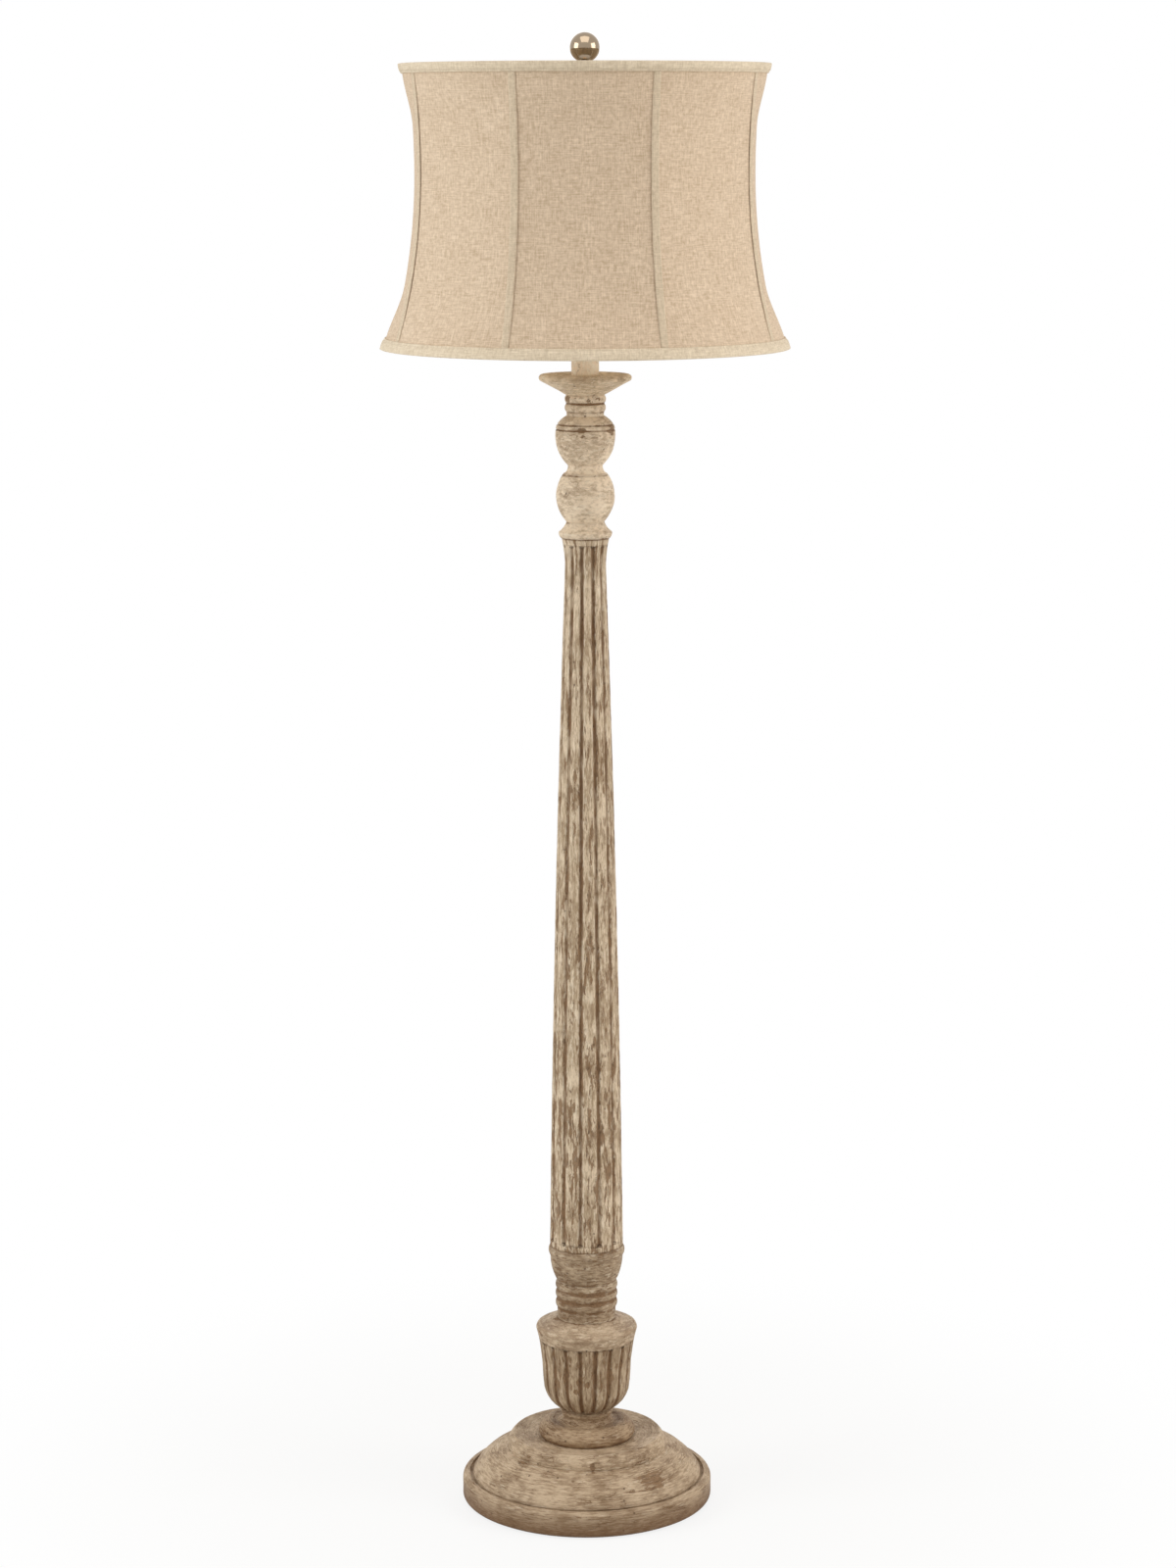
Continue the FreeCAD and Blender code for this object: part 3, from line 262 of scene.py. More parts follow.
def bump(s, surface, height, strength, distance):
    node = s.add("ShaderNodeBump")
    node.inputs["Strength"].default_value = strength
    node.inputs["Distance"].default_value = distance
    s.feed(node.inputs["Height"], height)
    s.feed(surface.inputs["Normal"], node.outputs[0])


# old cream paint over brown wood
paintColors = dict(
    glaze=screen(108, 78, 50),
    wood=screen(136, 106, 77),
    darkWood=screen(82, 60, 42),
    bright=screen(233, 219, 196),
)


paintStyle = dict(
    slow=30.0, toneRange=(0.40, 0.60), toneShares=(0.4, 0.6),        # change of tone over the piece
    fineScale=2.3, streakRange=(0.50, 0.66), crack=0.33,             # marks of the brush and cracks
    woodRange=(0.34, 0.54), woodCover=0.86, scarHelp=0.3, wearFrom=1.1,
    fleckScale=95.0, fleckSize=0.16,
    lowShadeHeights=(0.002, 0.036),                                      # painted shade low on the rim fades out between these
    roughRange=(-3.4, 2.1), specular=0.28, bump=0.6, bumpDepth=0.0008,
    relief=dict(line=0.5, worn=0.5, crack=0.8, fleck=1.2),
)


def oldPaint(name, light, dark, radius, grain, worn, patch=0.4, flake=1.1, pale=0.42, paleMix=0.45,
             grimeAndShadeAmount=0.9, streaks=0.3, crackAmount=0.5, helpHollow=0.12, fleckAmount=0.7,
             gaps=(40.0, 40.0, 30.0), gapFloor=0.3, lowShade=0.0, lowWear=0.0, edgeWearAndHighlight=0.06, soft=0.02):
    # grain: size of a mark round the piece and along it, in metres
    c, look = paintColors, paintStyle
    material, s, surface = newMaterial(name)
    cut = s.group(turnedCoordinates, Around=radius / grain[0], Along=1 / grain[1])[0]
    place = s.add("ShaderNodeTexCoord").outputs["Object"]
    slow = s.noise(place, look["slow"], 3.0, 0.6)
    broken = s.ramp(s.noise(s.vector("MULTIPLY", place, gaps), 1.0, 3.0, 0.6), 0.40, 0.60)
    hollow = s.math("ADD", gapFloor, s.math("MULTIPLY", broken, 1 - gapFloor))
    hollow = s.math("MULTIPLY", s.attribute("hollow"), hollow)
    ridge = s.attribute("ridge")
    lines = s.group(brushLines, Vector=cut, Fine=1.0, Crack=look["crack"])
    tone = s.math("ADD", s.math("MULTIPLY", slow, look["toneShares"][0]),
                  s.math("MULTIPLY", lines["Line"], look["toneShares"][1]))
    color = s.mix(s.ramp(tone, *look["toneRange"]), screen(*light), screen(*dark))
    # glaze that stayed in the marks of the brush
    fine = s.noise(s.vector("MULTIPLY", cut, (look["fineScale"],) * 3), 1.0, 4.0, 0.7)
    color = s.mix(s.math("MULTIPLY", s.ramp(fine, *look["streakRange"]), streaks), color, c["glaze"])
    # rubbed places show an older, paler coat; helped along on ridges, it is partly a painted highlight
    # there
    rubbed = s.group(paintWear, Vector=cut, Patch=patch * 1.7, Flake=flake * 1.3, Amount=pale,
                     Softness=soft, Help=s.math("MULTIPLY", ridge, edgeWearAndHighlight))
    color = s.mix(s.math("MULTIPLY", rubbed["Worn"], paleMix), color, c["bright"])
    # grime and painted shade in hollows, creases and where pieces meet, in the glaze colour
    dirtAndShade = s.group(grimeAndShade, Hollow=hollow, Strength=grimeAndShadeAmount)[0]
    color = s.mix(dirtAndShade, color, c["glaze"])
    # bare wood
    help = s.math("ADD", s.math("MULTIPLY", hollow, helpHollow),
                  s.math("MULTIPLY", s.attribute("scar"), look["scarHelp"]))
    height = s.add("ShaderNodeSeparateXYZ")
    s.feed(height.inputs[0], place)
    if lowWear:  # more wear toward the foot
        drop = s.math("SUBTRACT", look["wearFrom"], height.outputs[2])
        help = s.math("ADD", help, s.math("MULTIPLY", drop, lowWear))
    gone = s.group(paintWear, Vector=cut, Patch=patch, Flake=flake, Amount=worn, Softness=soft, Help=help)
    woodTone = s.mix(s.ramp(fine, *look["woodRange"]), c["darkWood"], c["wood"])
    color = s.mix(s.math("MULTIPLY", gone["Worn"], look["woodCover"]), color, woodTone)
    cracks = s.math("MULTIPLY", crackAmount, s.ramp(slow, 0.42, 0.6))
    cracks = s.math("MULTIPLY", lines["Crack"], cracks)
    color = s.mix(cracks, color, c["glaze"])
    spots = s.group(flecks, Vector=place, Scale=look["fleckScale"], Size=look["fleckSize"])[0]
    color = s.mix(s.math("MULTIPLY", spots, fleckAmount), color, c["darkWood"])
    if lowShade:  # painted shade, strongest at the bottom of the rim, in the glaze colour
        low = s.math("SUBTRACT", 1.0, s.ramp(height.outputs[2], *look["lowShadeHeights"]))
        low = s.math("MULTIPLY", low, s.math("ADD", 0.4, s.math("MULTIPLY", fine, 1.2)))
        color = s.mix(s.math("MULTIPLY", low, lowShade, True), color, c["glaze"])
    s.feed(surface.inputs["Base Color"], color)
    s.feed(surface.inputs["Roughness"], s.ramp(gone["Worn"], *look["roughRange"], False))
    surface.inputs["Specular IOR Level"].default_value = look["specular"]
    relief = s.math("MULTIPLY", lines["Line"], look["relief"]["line"])
    for mark, depth in ((gone["Worn"], "worn"), (cracks, "crack"), (spots, "fleck")):
        relief = s.math("SUBTRACT", relief, s.math("MULTIPLY", mark, look["relief"][depth]))
    bump(s, surface, relief, look["bump"], look["bumpDepth"])
    return material


paint = dict(
    base=oldPaint("paintBase", light=(196, 173, 145), dark=(152, 128, 101), radius=0.11,
                  grain=(0.014, 0.0021), worn=0.395, streaks=0.45, crackAmount=0.8, pale=0.41, paleMix=0.3,
                  lowShade=0.9, helpHollow=0.15),
    collar=oldPaint("paintCollar", light=(180, 155, 125), dark=(136, 109, 81), radius=0.05,
                    grain=(0.010, 0.0018), worn=0.42, streaks=0.5, crackAmount=0.8, pale=0.39, paleMix=0.3),
    urn=oldPaint("paintUrn", light=(188, 166, 138), dark=(142, 119, 93), radius=0.05, grain=(0.0026, 0.015),
                 worn=0.452, streaks=0.45, crackAmount=0.2, pale=0.41, paleMix=0.35, helpHollow=0.09,
                 fleckAmount=1.0, grimeAndShadeAmount=1.2, gaps=(60.0, 60.0, 38.0), gapFloor=0.6),
    shoulder=oldPaint("paintShoulder", light=(202, 180, 153), dark=(158, 134, 108), radius=0.05,
                      grain=(0.009, 0.0035), worn=0.40, streaks=0.35, crackAmount=0.4, paleMix=0.35),
    lowTurning=oldPaint("paintLowTurning", light=(180, 158, 131), dark=(134, 111, 86), radius=0.04,
                        grain=(0.008, 0.0020), worn=0.43, streaks=0.5, crackAmount=0.7, paleMix=0.35,
                        helpHollow=0.16, gaps=(70.0, 70.0, 60.0)),
    shaft=oldPaint("paintShaft", light=(219, 199, 172), dark=(168, 145, 117), radius=0.03,
                   grain=(0.0024, 0.015), worn=0.434, streaks=0.48, crackAmount=0.25, pale=0.43,
                   paleMix=0.5, helpHollow=0.05, edgeWearAndHighlight=0.05, gaps=(70.0, 70.0, 22.0), gapFloor=0.5,
                   lowWear=0.055, fleckAmount=0.5),
    highTurning=oldPaint("paintHighTurning", light=(228, 208, 182), dark=(186, 164, 138), radius=0.03,
                         grain=(0.007, 0.0034), worn=0.36, streaks=0.12, pale=0.45, helpHollow=0.2,
                         gaps=(60.0, 60.0, 60.0), gapFloor=0.45),
    dish=oldPaint("paintDish", light=(226, 204, 174), dark=(184, 160, 130), radius=0.04,
                  grain=(0.007, 0.0022), worn=0.36, grimeAndShadeAmount=0.6, pale=0.44),
    # the sleeve's cream is painted brighter and warmer than the rest: painted glow from the bulb above
    sleeve=oldPaint("paintSleeveWithPaintedGlow", light=(255, 244, 224), dark=(250, 230, 204), radius=0.014,
                    grain=(0.003, 0.006), worn=0.33, streaks=0.2, pale=0.4, fleckAmount=0.4),
)
print("paint made")


# cloth, metal and small parts
def clothMaterial(name, light, dark, fleck, pitch, strength, fleckAmount=0.25, sheen=0.12):
    material, s, surface = newMaterial(name)
    threads = s.group(weave, Vector=s.attribute("cloth", "Vector"), Pitch=pitch)
    color = s.mix(threads["Tone"], dark, light)
    color = s.mix(s.math("MULTIPLY", threads["Fleck"], fleckAmount), color, fleck)
    s.feed(surface.inputs["Base Color"], color)
    surface.inputs["Roughness"].default_value = 0.92
    surface.inputs["Specular IOR Level"].default_value = 0.15
    surface.inputs["Sheen Weight"].default_value = sheen
    surface.inputs["Sheen Roughness"].default_value = 0.5
    bump(s, surface, threads["Height"], strength, 0.0005)
    return material


cloth = dict(
    linen=clothMaterial("linenSlub", screen(230, 209, 184), screen(194, 169, 141), screen(160, 131, 102),
                        0.0008, 0.5),
    strip=clothMaterial("linenStrip", screen(224, 206, 181), screen(194, 175, 149), screen(170, 150, 122),
                        0.0007, 0.4, 0.12),
    trim=clothMaterial("linenTrim", screen(232, 217, 193), screen(202, 184, 158), screen(166, 146, 118),
                       0.0008, 0.4, 0.15),
    lining=clothMaterial("liningCloth", screen(238, 229, 212), screen(226, 216, 197), screen(205, 192, 170),
                         0.0005, 0.25, 0.1, 0.05),
)


def metalMaterial(name, color, roughness, streak=0.06, metallic=1.0, mottle=0.15, scale=60.0):
    material, s, surface = newMaterial(name)
    place = s.add("ShaderNodeTexCoord").outputs["Object"]
    cloud = s.noise(place, scale, 4.0, 0.6)
    fine = s.noise(s.vector("MULTIPLY", place, (300.0, 300.0, 1600.0)), 1.0, 3.0, 0.6)
    shade = tuple(v * (1 - mottle) for v in color[:3]) + (1.0,)
    s.feed(surface.inputs["Base Color"], s.mix(cloud, color, shade))
    low = roughness - streak
    s.feed(surface.inputs["Roughness"], s.math("ADD", low, s.math("MULTIPLY", fine, 2 * streak)))
    surface.inputs["Metallic"].default_value = metallic
    bump(s, surface, s.math("ADD", fine, cloud), 0.08, 0.0002)
    return material


def mouldedMaterial(name, color, roughness, grain=900.0, strength=0.15, lighter=1.35):
    material, s, surface = newMaterial(name)
    place = s.add("ShaderNodeTexCoord").outputs["Object"]
    speck = s.noise(place, grain, 3.0, 0.6)
    pale = tuple(min(1.0, v * lighter) for v in color[:3]) + (1.0,)
    s.feed(surface.inputs["Base Color"], s.mix(speck, color, pale))
    s.feed(surface.inputs["Roughness"], s.math("ADD", roughness, s.math("MULTIPLY", speck, 0.12)))
    bump(s, surface, speck, strength, 0.0003)
    return material


def bulbMaterial():
    material, s, surface = newMaterial("frostedBulb")
    place = s.add("ShaderNodeTexCoord").outputs["Object"]
    frost = s.noise(place, 1400.0, 2.0, 0.5)
    glow = s.mix(frost, screen(250, 205, 146), screen(252, 214, 164))
    s.feed(surface.inputs["Base Color"], glow)
    s.feed(surface.inputs["Emission Color"], glow)
    surface.inputs["Emission Strength"].default_value = 0.75
    surface.inputs["Roughness"].default_value = 0.45
    bump(s, surface, frost, 0.05, 0.0002)
    return material


small = dict(
    nickel=metalMaterial("polishedNickel", screen(166, 148, 126), 0.12, 0.03, mottle=0.2),
    zinc=metalMaterial("zincSteel", screen(190, 190, 184), 0.36, 0.08),
    brass=metalMaterial("plainBrass", screen(206, 170, 106), 0.3, 0.06),
    aluminium=metalMaterial("spunAluminium", screen(214, 214, 212), 0.3, 0.08),
    iron=metalMaterial("castIron", screen(66, 64, 62), 0.62, 0.08, 1.0, 0.3, 180.0),
    wire=metalMaterial("coatedWire", screen(228, 224, 214), 0.4, 0.05, 0.0, 0.06),
    black=mouldedMaterial("blackPhenolic", screen(30, 27, 25), 0.36),
    card=mouldedMaterial("linerCard", screen(120, 94, 66), 0.85, 500.0, 0.3),
    vitrite=mouldedMaterial("blackGlass", screen(18, 18, 20), 0.12, 300.0, 0.02),
    felt=mouldedMaterial("pressedFelt", screen(58, 50, 42), 0.95, 1500.0, 0.8, 1.9),
    bulb=bulbMaterial(),
)

cadFinish = dict(
    nickel=["harp_saddle", "harp_wire", "harp_stud", "ferrule_left", "ferrule_right", "socket_cap",
            "socket_shell", "finial_base", "finial_ball"],
    zinc=["weight_screws", "bottom_washer", "bottom_nut", "lamp_pipe", "top_nut", "switch_shaft"],
    brass=["socket_contact", "bulb_tip"],
    aluminium=["socket_screw_shell", "bulb_cap"],
    iron=["base_weight"],
    wire=["shade_top_ring", "shade_bottom_ring", "shade_ribs", "shade_spider"],
    black=["cord_bushing", "socket_body", "switch_knob"],
    card=["socket_liner"],
    vitrite=["bulb_insulator"],
    bulb=["bulb_glass"],
)
sharpFrom = 32  # degrees; gentler edges are shaded smooth
for finish, nodes in cadFinish.items():
    for node in nodes:
        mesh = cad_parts[node].data
        mesh.materials.clear()
        mesh.materials.append(small[finish])
        mesh.polygons.foreach_set("use_smooth", [True] * len(mesh.polygons))
        mesh.set_sharp_from_angle(angle=math.radians(sharpFrom))
print("cloth, metal and moulded finishes made")


# meshes
def newPiece(name, grid, material, wrapAlong=True, values=None):
    # grid: rows of points, each row one turn or one strip of the surface
    rows, columns = grid.shape[:2]
    index = np.arange(rows * columns).reshape(rows, columns)
    faces = []
    for i in range(rows if wrapAlong else rows - 1):
        lower, upper = index[i], index[(i + 1) % rows]
        for j in range(columns):
            k = (j + 1) % columns
            faces.append((lower[j], lower[k], upper[k], upper[j]))
    mesh = bpy.data.meshes.new(name)
    mesh.from_pydata(grid.reshape(-1, 3).tolist(), [], faces)
    mesh.polygons.foreach_set("use_smooth", [True] * len(faces))
    for label, data in (values or {}).items():
        kind = "FLOAT_VECTOR" if data.ndim == 3 else "FLOAT"
        layer = mesh.attributes.new(label, kind, "POINT")
        layer.data.foreach_set("vector" if data.ndim == 3 else "value", data.astype(np.float32).ravel())
    mesh.materials.append(material)
    mesh.update()
    piece = bpy.data.objects.new(name, mesh)
    bpy.context.scene.collection.objects.link(piece)
    return piece


def seamLoop(node):
    # the closed half section of a turned CAD node, read along its seam in the XZ plane
    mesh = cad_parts[node].data
    spot = {}
    for v in mesh.vertices:
        if v.co.x > 0 and abs(v.co.y) < 2e-6:
            spot[v.index] = (round(v.co.x, 6), round(v.co.z, 6))
    links = {}
    for e in mesh.edges:
        a, b = e.vertices
        if a in spot and b in spot and spot[a] != spot[b]:
            links.setdefault(spot[a], set()).add(spot[b])
            links.setdefault(spot[b], set()).add(spot[a])
    start = max(links, key=lambda p: (-p[1], p[0]))
    loop, last = [start], None
    while True:
        here = loop[-1]
        ways = [p for p in links[here] if p != last]
        if last is None:
            ways.sort(key=lambda p: (-p[0], p[1]))
        if not ways or ways[0] == start:
            break
        last = here
        loop.append(ways[0])
        if len(loop) > 5000:
            break
    return np.array(loop)


def smoothRandom(points, scale, seed):
    shift = Vector((seed * 7.13, seed * 3.71, seed * 1.37))
    flat = points.reshape(-1, 3)
    found = [noise.noise(Vector(p) * scale + shift) for p in flat.tolist()]
    return np.array(found).reshape(points.shape[:-1])


turningStyle = dict(
    step=0.0013, smoothPasses=2, smoothReach=4,   # how finely an outline is cut, how its corners are rubbed
    dent=0.00022, dentScale=70.0, ripple=0.00007, rippleScale=420.0,
    boreRadius=0.0058, endFade=0.003,
    creaseReach=3, creaseFrom=0.24, creaseFull=0.5, endHollow=0.9, endReach=0.0012,
    scarReach=1.4,
)


def resampleLoop(loop, step, bore):
    # short steps outside, none along the bore, so that the hidden faces stay few
    points, outside = [], []
    count = len(loop)
    for k in range(count):
        a, b = loop[k], loop[(k + 1) % count]
        inner = max(a[0], b[0]) < bore or (abs(a[1] - b[1]) < 1e-6 and min(a[0], b[0]) < bore)
        parts = 1 if inner else max(1, int(math.ceil(np.hypot(*(b - a)) / step)))
        for n in range(parts):
            points.append(a + (b - a) * n / parts)
            outside.append(not inner)
    return np.array(points), np.array(outside)


def profileNormals(points):
    way = np.roll(points, -1, 0) - np.roll(points, 1, 0)
    way /= np.maximum(np.hypot(way[:, 0], way[:, 1]), 1e-9)[:, None]
    return np.stack([way[:, 1], -way[:, 0]], 1)


def revolve(points, turn):
    # points: radius and height; turn: angles round the column
    return np.stack([np.outer(points[:, 0], np.cos(turn)), np.outer(points[:, 0], np.sin(turn)),
                     np.outer(points[:, 1], np.ones(len(turn)))], 2)


def fullTurn(count):
    return np.linspace(0, 2 * math.pi, count, endpoint=False)


def runLength(points):
    return np.concatenate([[0], np.cumsum(np.hypot(*(points[1:] - points[:-1]).T))])


def scarMarks(grid, scars):
    # how worn each point is, and how deep it was knocked in
    worn, sunk = np.zeros(grid.shape[:2]), np.zeros(grid.shape[:2])
    for spot in scars:
        distance = np.linalg.norm((grid - np.array(spot["at"])) / np.array(spot["size"]), axis=2)
        worn = np.maximum(worn, np.clip(turningStyle["scarReach"] - distance, 0, 1) * spot["wear"])
        sunk += spot["depth"] * np.clip(1 - distance, 0, 1) ** 0.5
    return worn, sunk


def turnedPiece(name, node, material, segments, step=turningStyle["step"], dents=1.0, scars=(), marks=(),
                endFoot=False, endHead=False):
    t = turningStyle
    loop = seamLoop(node)
    low, high = loop[:, 1].min(), loop[:, 1].max()
    points, outside = resampleLoop(loop, step, t["boreRadius"])
    for _ in range(t["smoothPasses"]):
        before, after = np.roll(points, 1, 0), np.roll(points, -1, 0)
        between = (np.abs(points[:, 1] - low) > 1e-5) & (np.abs(points[:, 1] - high) > 1e-5)
        near = np.hypot(*(before - after).T) < t["smoothReach"] * step
        free = outside & np.roll(outside, 1) & between & near
        points = np.where(free[:, None], points * 0.5 + (before + after) / 2 * 0.5, points)
    normals = profileNormals(points)
    # sharp inward bends hold dirt and painted shade, outward ones are rubbed to a paler coat that is partly
    # a painted highlight
    reach, span = t["creaseReach"], t["creaseFull"] - t["creaseFrom"]
    chord = (np.roll(points, reach, 0) + np.roll(points, -reach, 0)) / 2
    bend = ((chord - points) * normals).sum(1) / (reach * step)
    hollow = np.clip((bend - t["creaseFrom"]) / span, 0, 1) * outside
    ridge = np.clip((-bend - 0.5 * t["creaseFrom"]) / span, 0, 1) * outside
    # a dark line at a chosen end: painted shade where the piece meets its neighbour
    for wanted, edge in ((endFoot, low), (endHead, high)):
        if wanted:
            line = np.exp(-np.abs(points[:, 1] - edge) / t["endReach"])
            hollow = np.maximum(hollow, t["endHollow"] * line * outside)
    for z, width, dark in marks:  # cut lines darkened with dirt and painted shade
        hollow = np.maximum(hollow, dark * np.exp(-((points[:, 1] - z) / width) ** 2) * outside)
    turn = fullTurn(segments)
    grid = revolve(points, turn)
    push = t["dent"] * dents * smoothRandom(grid, t["dentScale"], 1)
    push = push + t["ripple"] * smoothRandom(grid, t["rippleScale"], 2)
    away = np.minimum(np.abs(points[:, 1] - low), np.abs(points[:, 1] - high))
    push = push * (outside * np.clip(away / t["endFade"], 0, 1))[:, None]
    scar, sunk = scarMarks(grid, scars)
    grid = grid + revolve(normals, turn) * (push - sunk)[:, :, None]
    ones = np.ones((1, segments))
    piece = newPiece(name, grid, material, values=dict(
        hollow=hollow[:, None] * ones, ridge=ridge[:, None] * ones, run=runLength(points)[:, None] * ones,
        scar=scar))
    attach(piece, "stand")
    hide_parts(node)
    return piece


baseScars = [
    dict(at=(0.0065, -0.0885, 0.064), size=(0.0024, 0.008, 0.0046), wear=0.9, depth=0.0010),
    dict(at=(0.071, -0.086, 0.052), size=(0.020, 0.022, 0.024), wear=0.42, depth=0.0),
    dict(at=(-0.070, -0.060, 0.060), size=(0.020, 0.012, 0.012), wear=0.25, depth=0.0),
    dict(at=(-0.09, 0.08, 0.045), size=(0.018, 0.022, 0.02), wear=0.4, depth=0.0),
]
ballScars = [
    dict(at=(-0.004, -0.032, 1.2065), size=(0.0045, 0.006, 0.0030), wear=1.3, depth=0.0005),
    dict(at=(-0.001, -0.032, 1.1990), size=(0.008, 0.006, 0.0030), wear=0.5, depth=0.0002),
    dict(at=(0.0285, -0.014, 1.2060), size=(0.006, 0.008, 0.0060), wear=0.7, depth=0.0004),
    dict(at=(-0.020, 0.024, 1.1960), size=(0.008, 0.008, 0.0050), wear=0.7, depth=0.0004),
]
lowNeckScars = [
    dict(at=(0.013, -0.031, 0.2335), size=(0.0090, 0.012, 0.0028), wear=1.3, depth=0.0003),
    dict(at=(-0.018, -0.028, 0.2345), size=(0.0060, 0.010, 0.0026), wear=1.1, depth=0.0002),
    dict(at=(0.0, -0.034, 0.2450), size=(0.0300, 0.016, 0.0030), wear=0.45, depth=0.0),
]
neckScars = [
    dict(at=(0.004, -0.019, 1.2385), size=(0.016, 0.012, 0.0045), wear=0.55, depth=0.0),
    dict(at=(-0.017, -0.010, 1.2385), size=(0.008, 0.008, 0.0035), wear=0.5, depth=0.0),
]

# the chosen ends and the marks are darkened: grime together with painted shade between parts
turnedPieces = [
    dict(name="plinth", node="base_plinth", material=paint["base"], segments=300, step=0.0014,
         scars=baseScars),
    dict(name="steppedDisc", node="base_tier", material=paint["base"], segments=240, scars=baseScars),
    dict(name="baseCollar", node="base_collar", material=paint["collar"], segments=180, endFoot=True,
         marks=[(0.0735, 0.0015, 1.0)]),
    dict(name="ringedNeckLow", node="lower_neck", material=paint["lowTurning"], segments=144, dents=1.6,
         step=0.0009, scars=lowNeckScars,
         marks=[(0.2230, 0.0016, 1.0), (0.2334, 0.0020, 1.9), (0.2438, 0.0017, 1.2)]),
    dict(name="shaftCup", node="shaft_cup", material=paint["lowTurning"], segments=144, step=0.0009,
         endHead=True, marks=[(0.2555, 0.0012, 0.8)]),
    dict(name="capitalRing", node="capital", material=paint["highTurning"], segments=128, step=0.0009,
         endFoot=True, endHead=True),
    dict(name="lowBall", node="lower_ball", material=paint["highTurning"], segments=144, dents=1.5,
         marks=[(1.1565, 0.0010, 0.8)]),
    dict(name="highBall", node="upper_ball", material=paint["highTurning"], segments=144, step=0.0006,
         dents=1.5, scars=ballScars, marks=[(1.2054, 0.0008, 1.1), (1.2108, 0.0008, 1.0)]),
    dict(name="ringedNeckHigh", node="upper_neck", material=paint["highTurning"], segments=112, step=0.0008,
         dents=1.6, scars=neckScars, marks=[(1.2242, 0.0009, 0.6), (1.2335, 0.0010, 1.8)]),
    dict(name="dripDish", node="drip_dish", material=paint["dish"], segments=160),
    dict(name="candleSleeve", node="candle_sleeve", material=paint["sleeve"], segments=96, step=0.003),
    dict(name="sleeveCap", node="sleeve_cap", material=paint["sleeve"], segments=96),
]
for settings in turnedPieces:
    turnedPiece(**settings)
print("turned pieces made")


# fluted pieces: lands with rounded arrises, grooves that start and stop in a round
def outerLine(node):
    # widest radius at each height of a fluted CAD node
    found = {}
    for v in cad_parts[node].data.vertices:
        z, r = round(v.co.z, 5), math.hypot(v.co.x, v.co.y)
        found[z] = max(found.get(z, 0), r)
    heights = sorted(z for z in found if found[z] > turningStyle["boreRadius"])
    return np.array(heights), np.array([found[z] for z in heights])


fluteStyle = dict(arris=0.0009, rub=0.00018, wander=0.00025, wanderScale=45.0, grain=1.6, hollowRise=0.7,
                  boreInset=0.0006)


def flutedPiece(name, node, material, count, phase, radius, depth, low, high, stopLow, perFlute, step,
                scars=()):
    t, f = turningStyle, fluteStyle
    line = lineOf(node)
    bottom, top = line[0][1], line[-1][1]
    side = []
    for (r0, z0), (r1, z1) in zip(line[:-1], line[1:]):
        parts = max(1, int(math.ceil(math.hypot(r1 - r0, z1 - z0) / step)))
        side += [(r0 + (r1 - r0) * n / parts, z0 + (z1 - z0) * n / parts) for n in range(parts)]
    side.append(line[-1])
    bore = t["boreRadius"] - f["boreInset"]
    loop = np.array(side + [(bore, top), (bore, bottom)])
    outside = np.array([True] * len(side) + [False, False])
    turn = fullTurn(count * perFlute)
    pitch = 2 * math.pi / count
    # angle from the nearest groove, measured from the front
    fromFront = turn + math.pi / 2 - math.radians(phase)
    off = (fromFront + pitch / 2) % pitch - pitch / 2
    r, z = loop[:, 0][:, None], loop[:, 1][:, None]
    grid = revolve(loop, turn)
    across = np.abs(off)[None] * r + f["wander"] * smoothRandom(grid, f["wanderScale"], 5)
    half = math.sqrt(radius ** 2 - (radius - depth) ** 2)
    beyond = np.maximum(0, z - high)
    if stopLow:
        beyond = np.maximum(beyond, low - z)
    reach = np.sqrt(across ** 2 + beyond ** 2)
    groove = np.sqrt(np.clip(radius ** 2 - reach ** 2, 0, None)) - (radius - depth)
    groove = np.clip(groove, 0, None) * outside[:, None]
    if not stopLow:
        groove = groove * (z > low)
    ridge = np.exp(-((reach - half) / f["arris"]) ** 2) * outside[:, None]
    push = t["dent"] * smoothRandom(grid, t["dentScale"], 3)
    push = push + f["grain"] * t["ripple"] * smoothRandom(grid, t["rippleScale"], 4)
    scar, sunk = scarMarks(grid, scars)
    away = np.minimum(np.abs(loop[:, 1] - bottom), np.abs(loop[:, 1] - top))
    fade = (outside * np.clip(away / t["endFade"], 0, 1))[:, None]
    push = (push - f["rub"] * ridge - sunk) * fade - groove
    grid = grid + revolve(profileNormals(loop), turn) * push[:, :, None]
    # the groove floors and both ends are darkened: grime and painted shade in the grooves and where the
    # piece meets its neighbours
    ends = np.exp(-away / t["endReach"])[:, None] * outside[:, None] * t["endHollow"]
    hollow = np.clip(np.maximum((groove / depth) ** f["hollowRise"], ends), 0, 1)
    run = runLength(loop)[:, None] * np.ones((1, len(turn)))
    piece = newPiece(name, grid, material, values=dict(hollow=hollow, ridge=ridge, run=run, scar=scar))
    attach(piece, "stand")
    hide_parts(node)
    return piece


def lineOf(node):
    heights, radii = outerLine(node)
    # keep the widest points only, so that the grooves' own corners drop out
    keep = [(radii[0], heights[0])]
    for k in range(1, len(heights)):
        if k + 1 < len(heights) and radii[k] < min(radii[k - 1], radii[k + 1]) - 0.0004:
            continue
        keep.append((radii[k], heights[k]))
    return keep


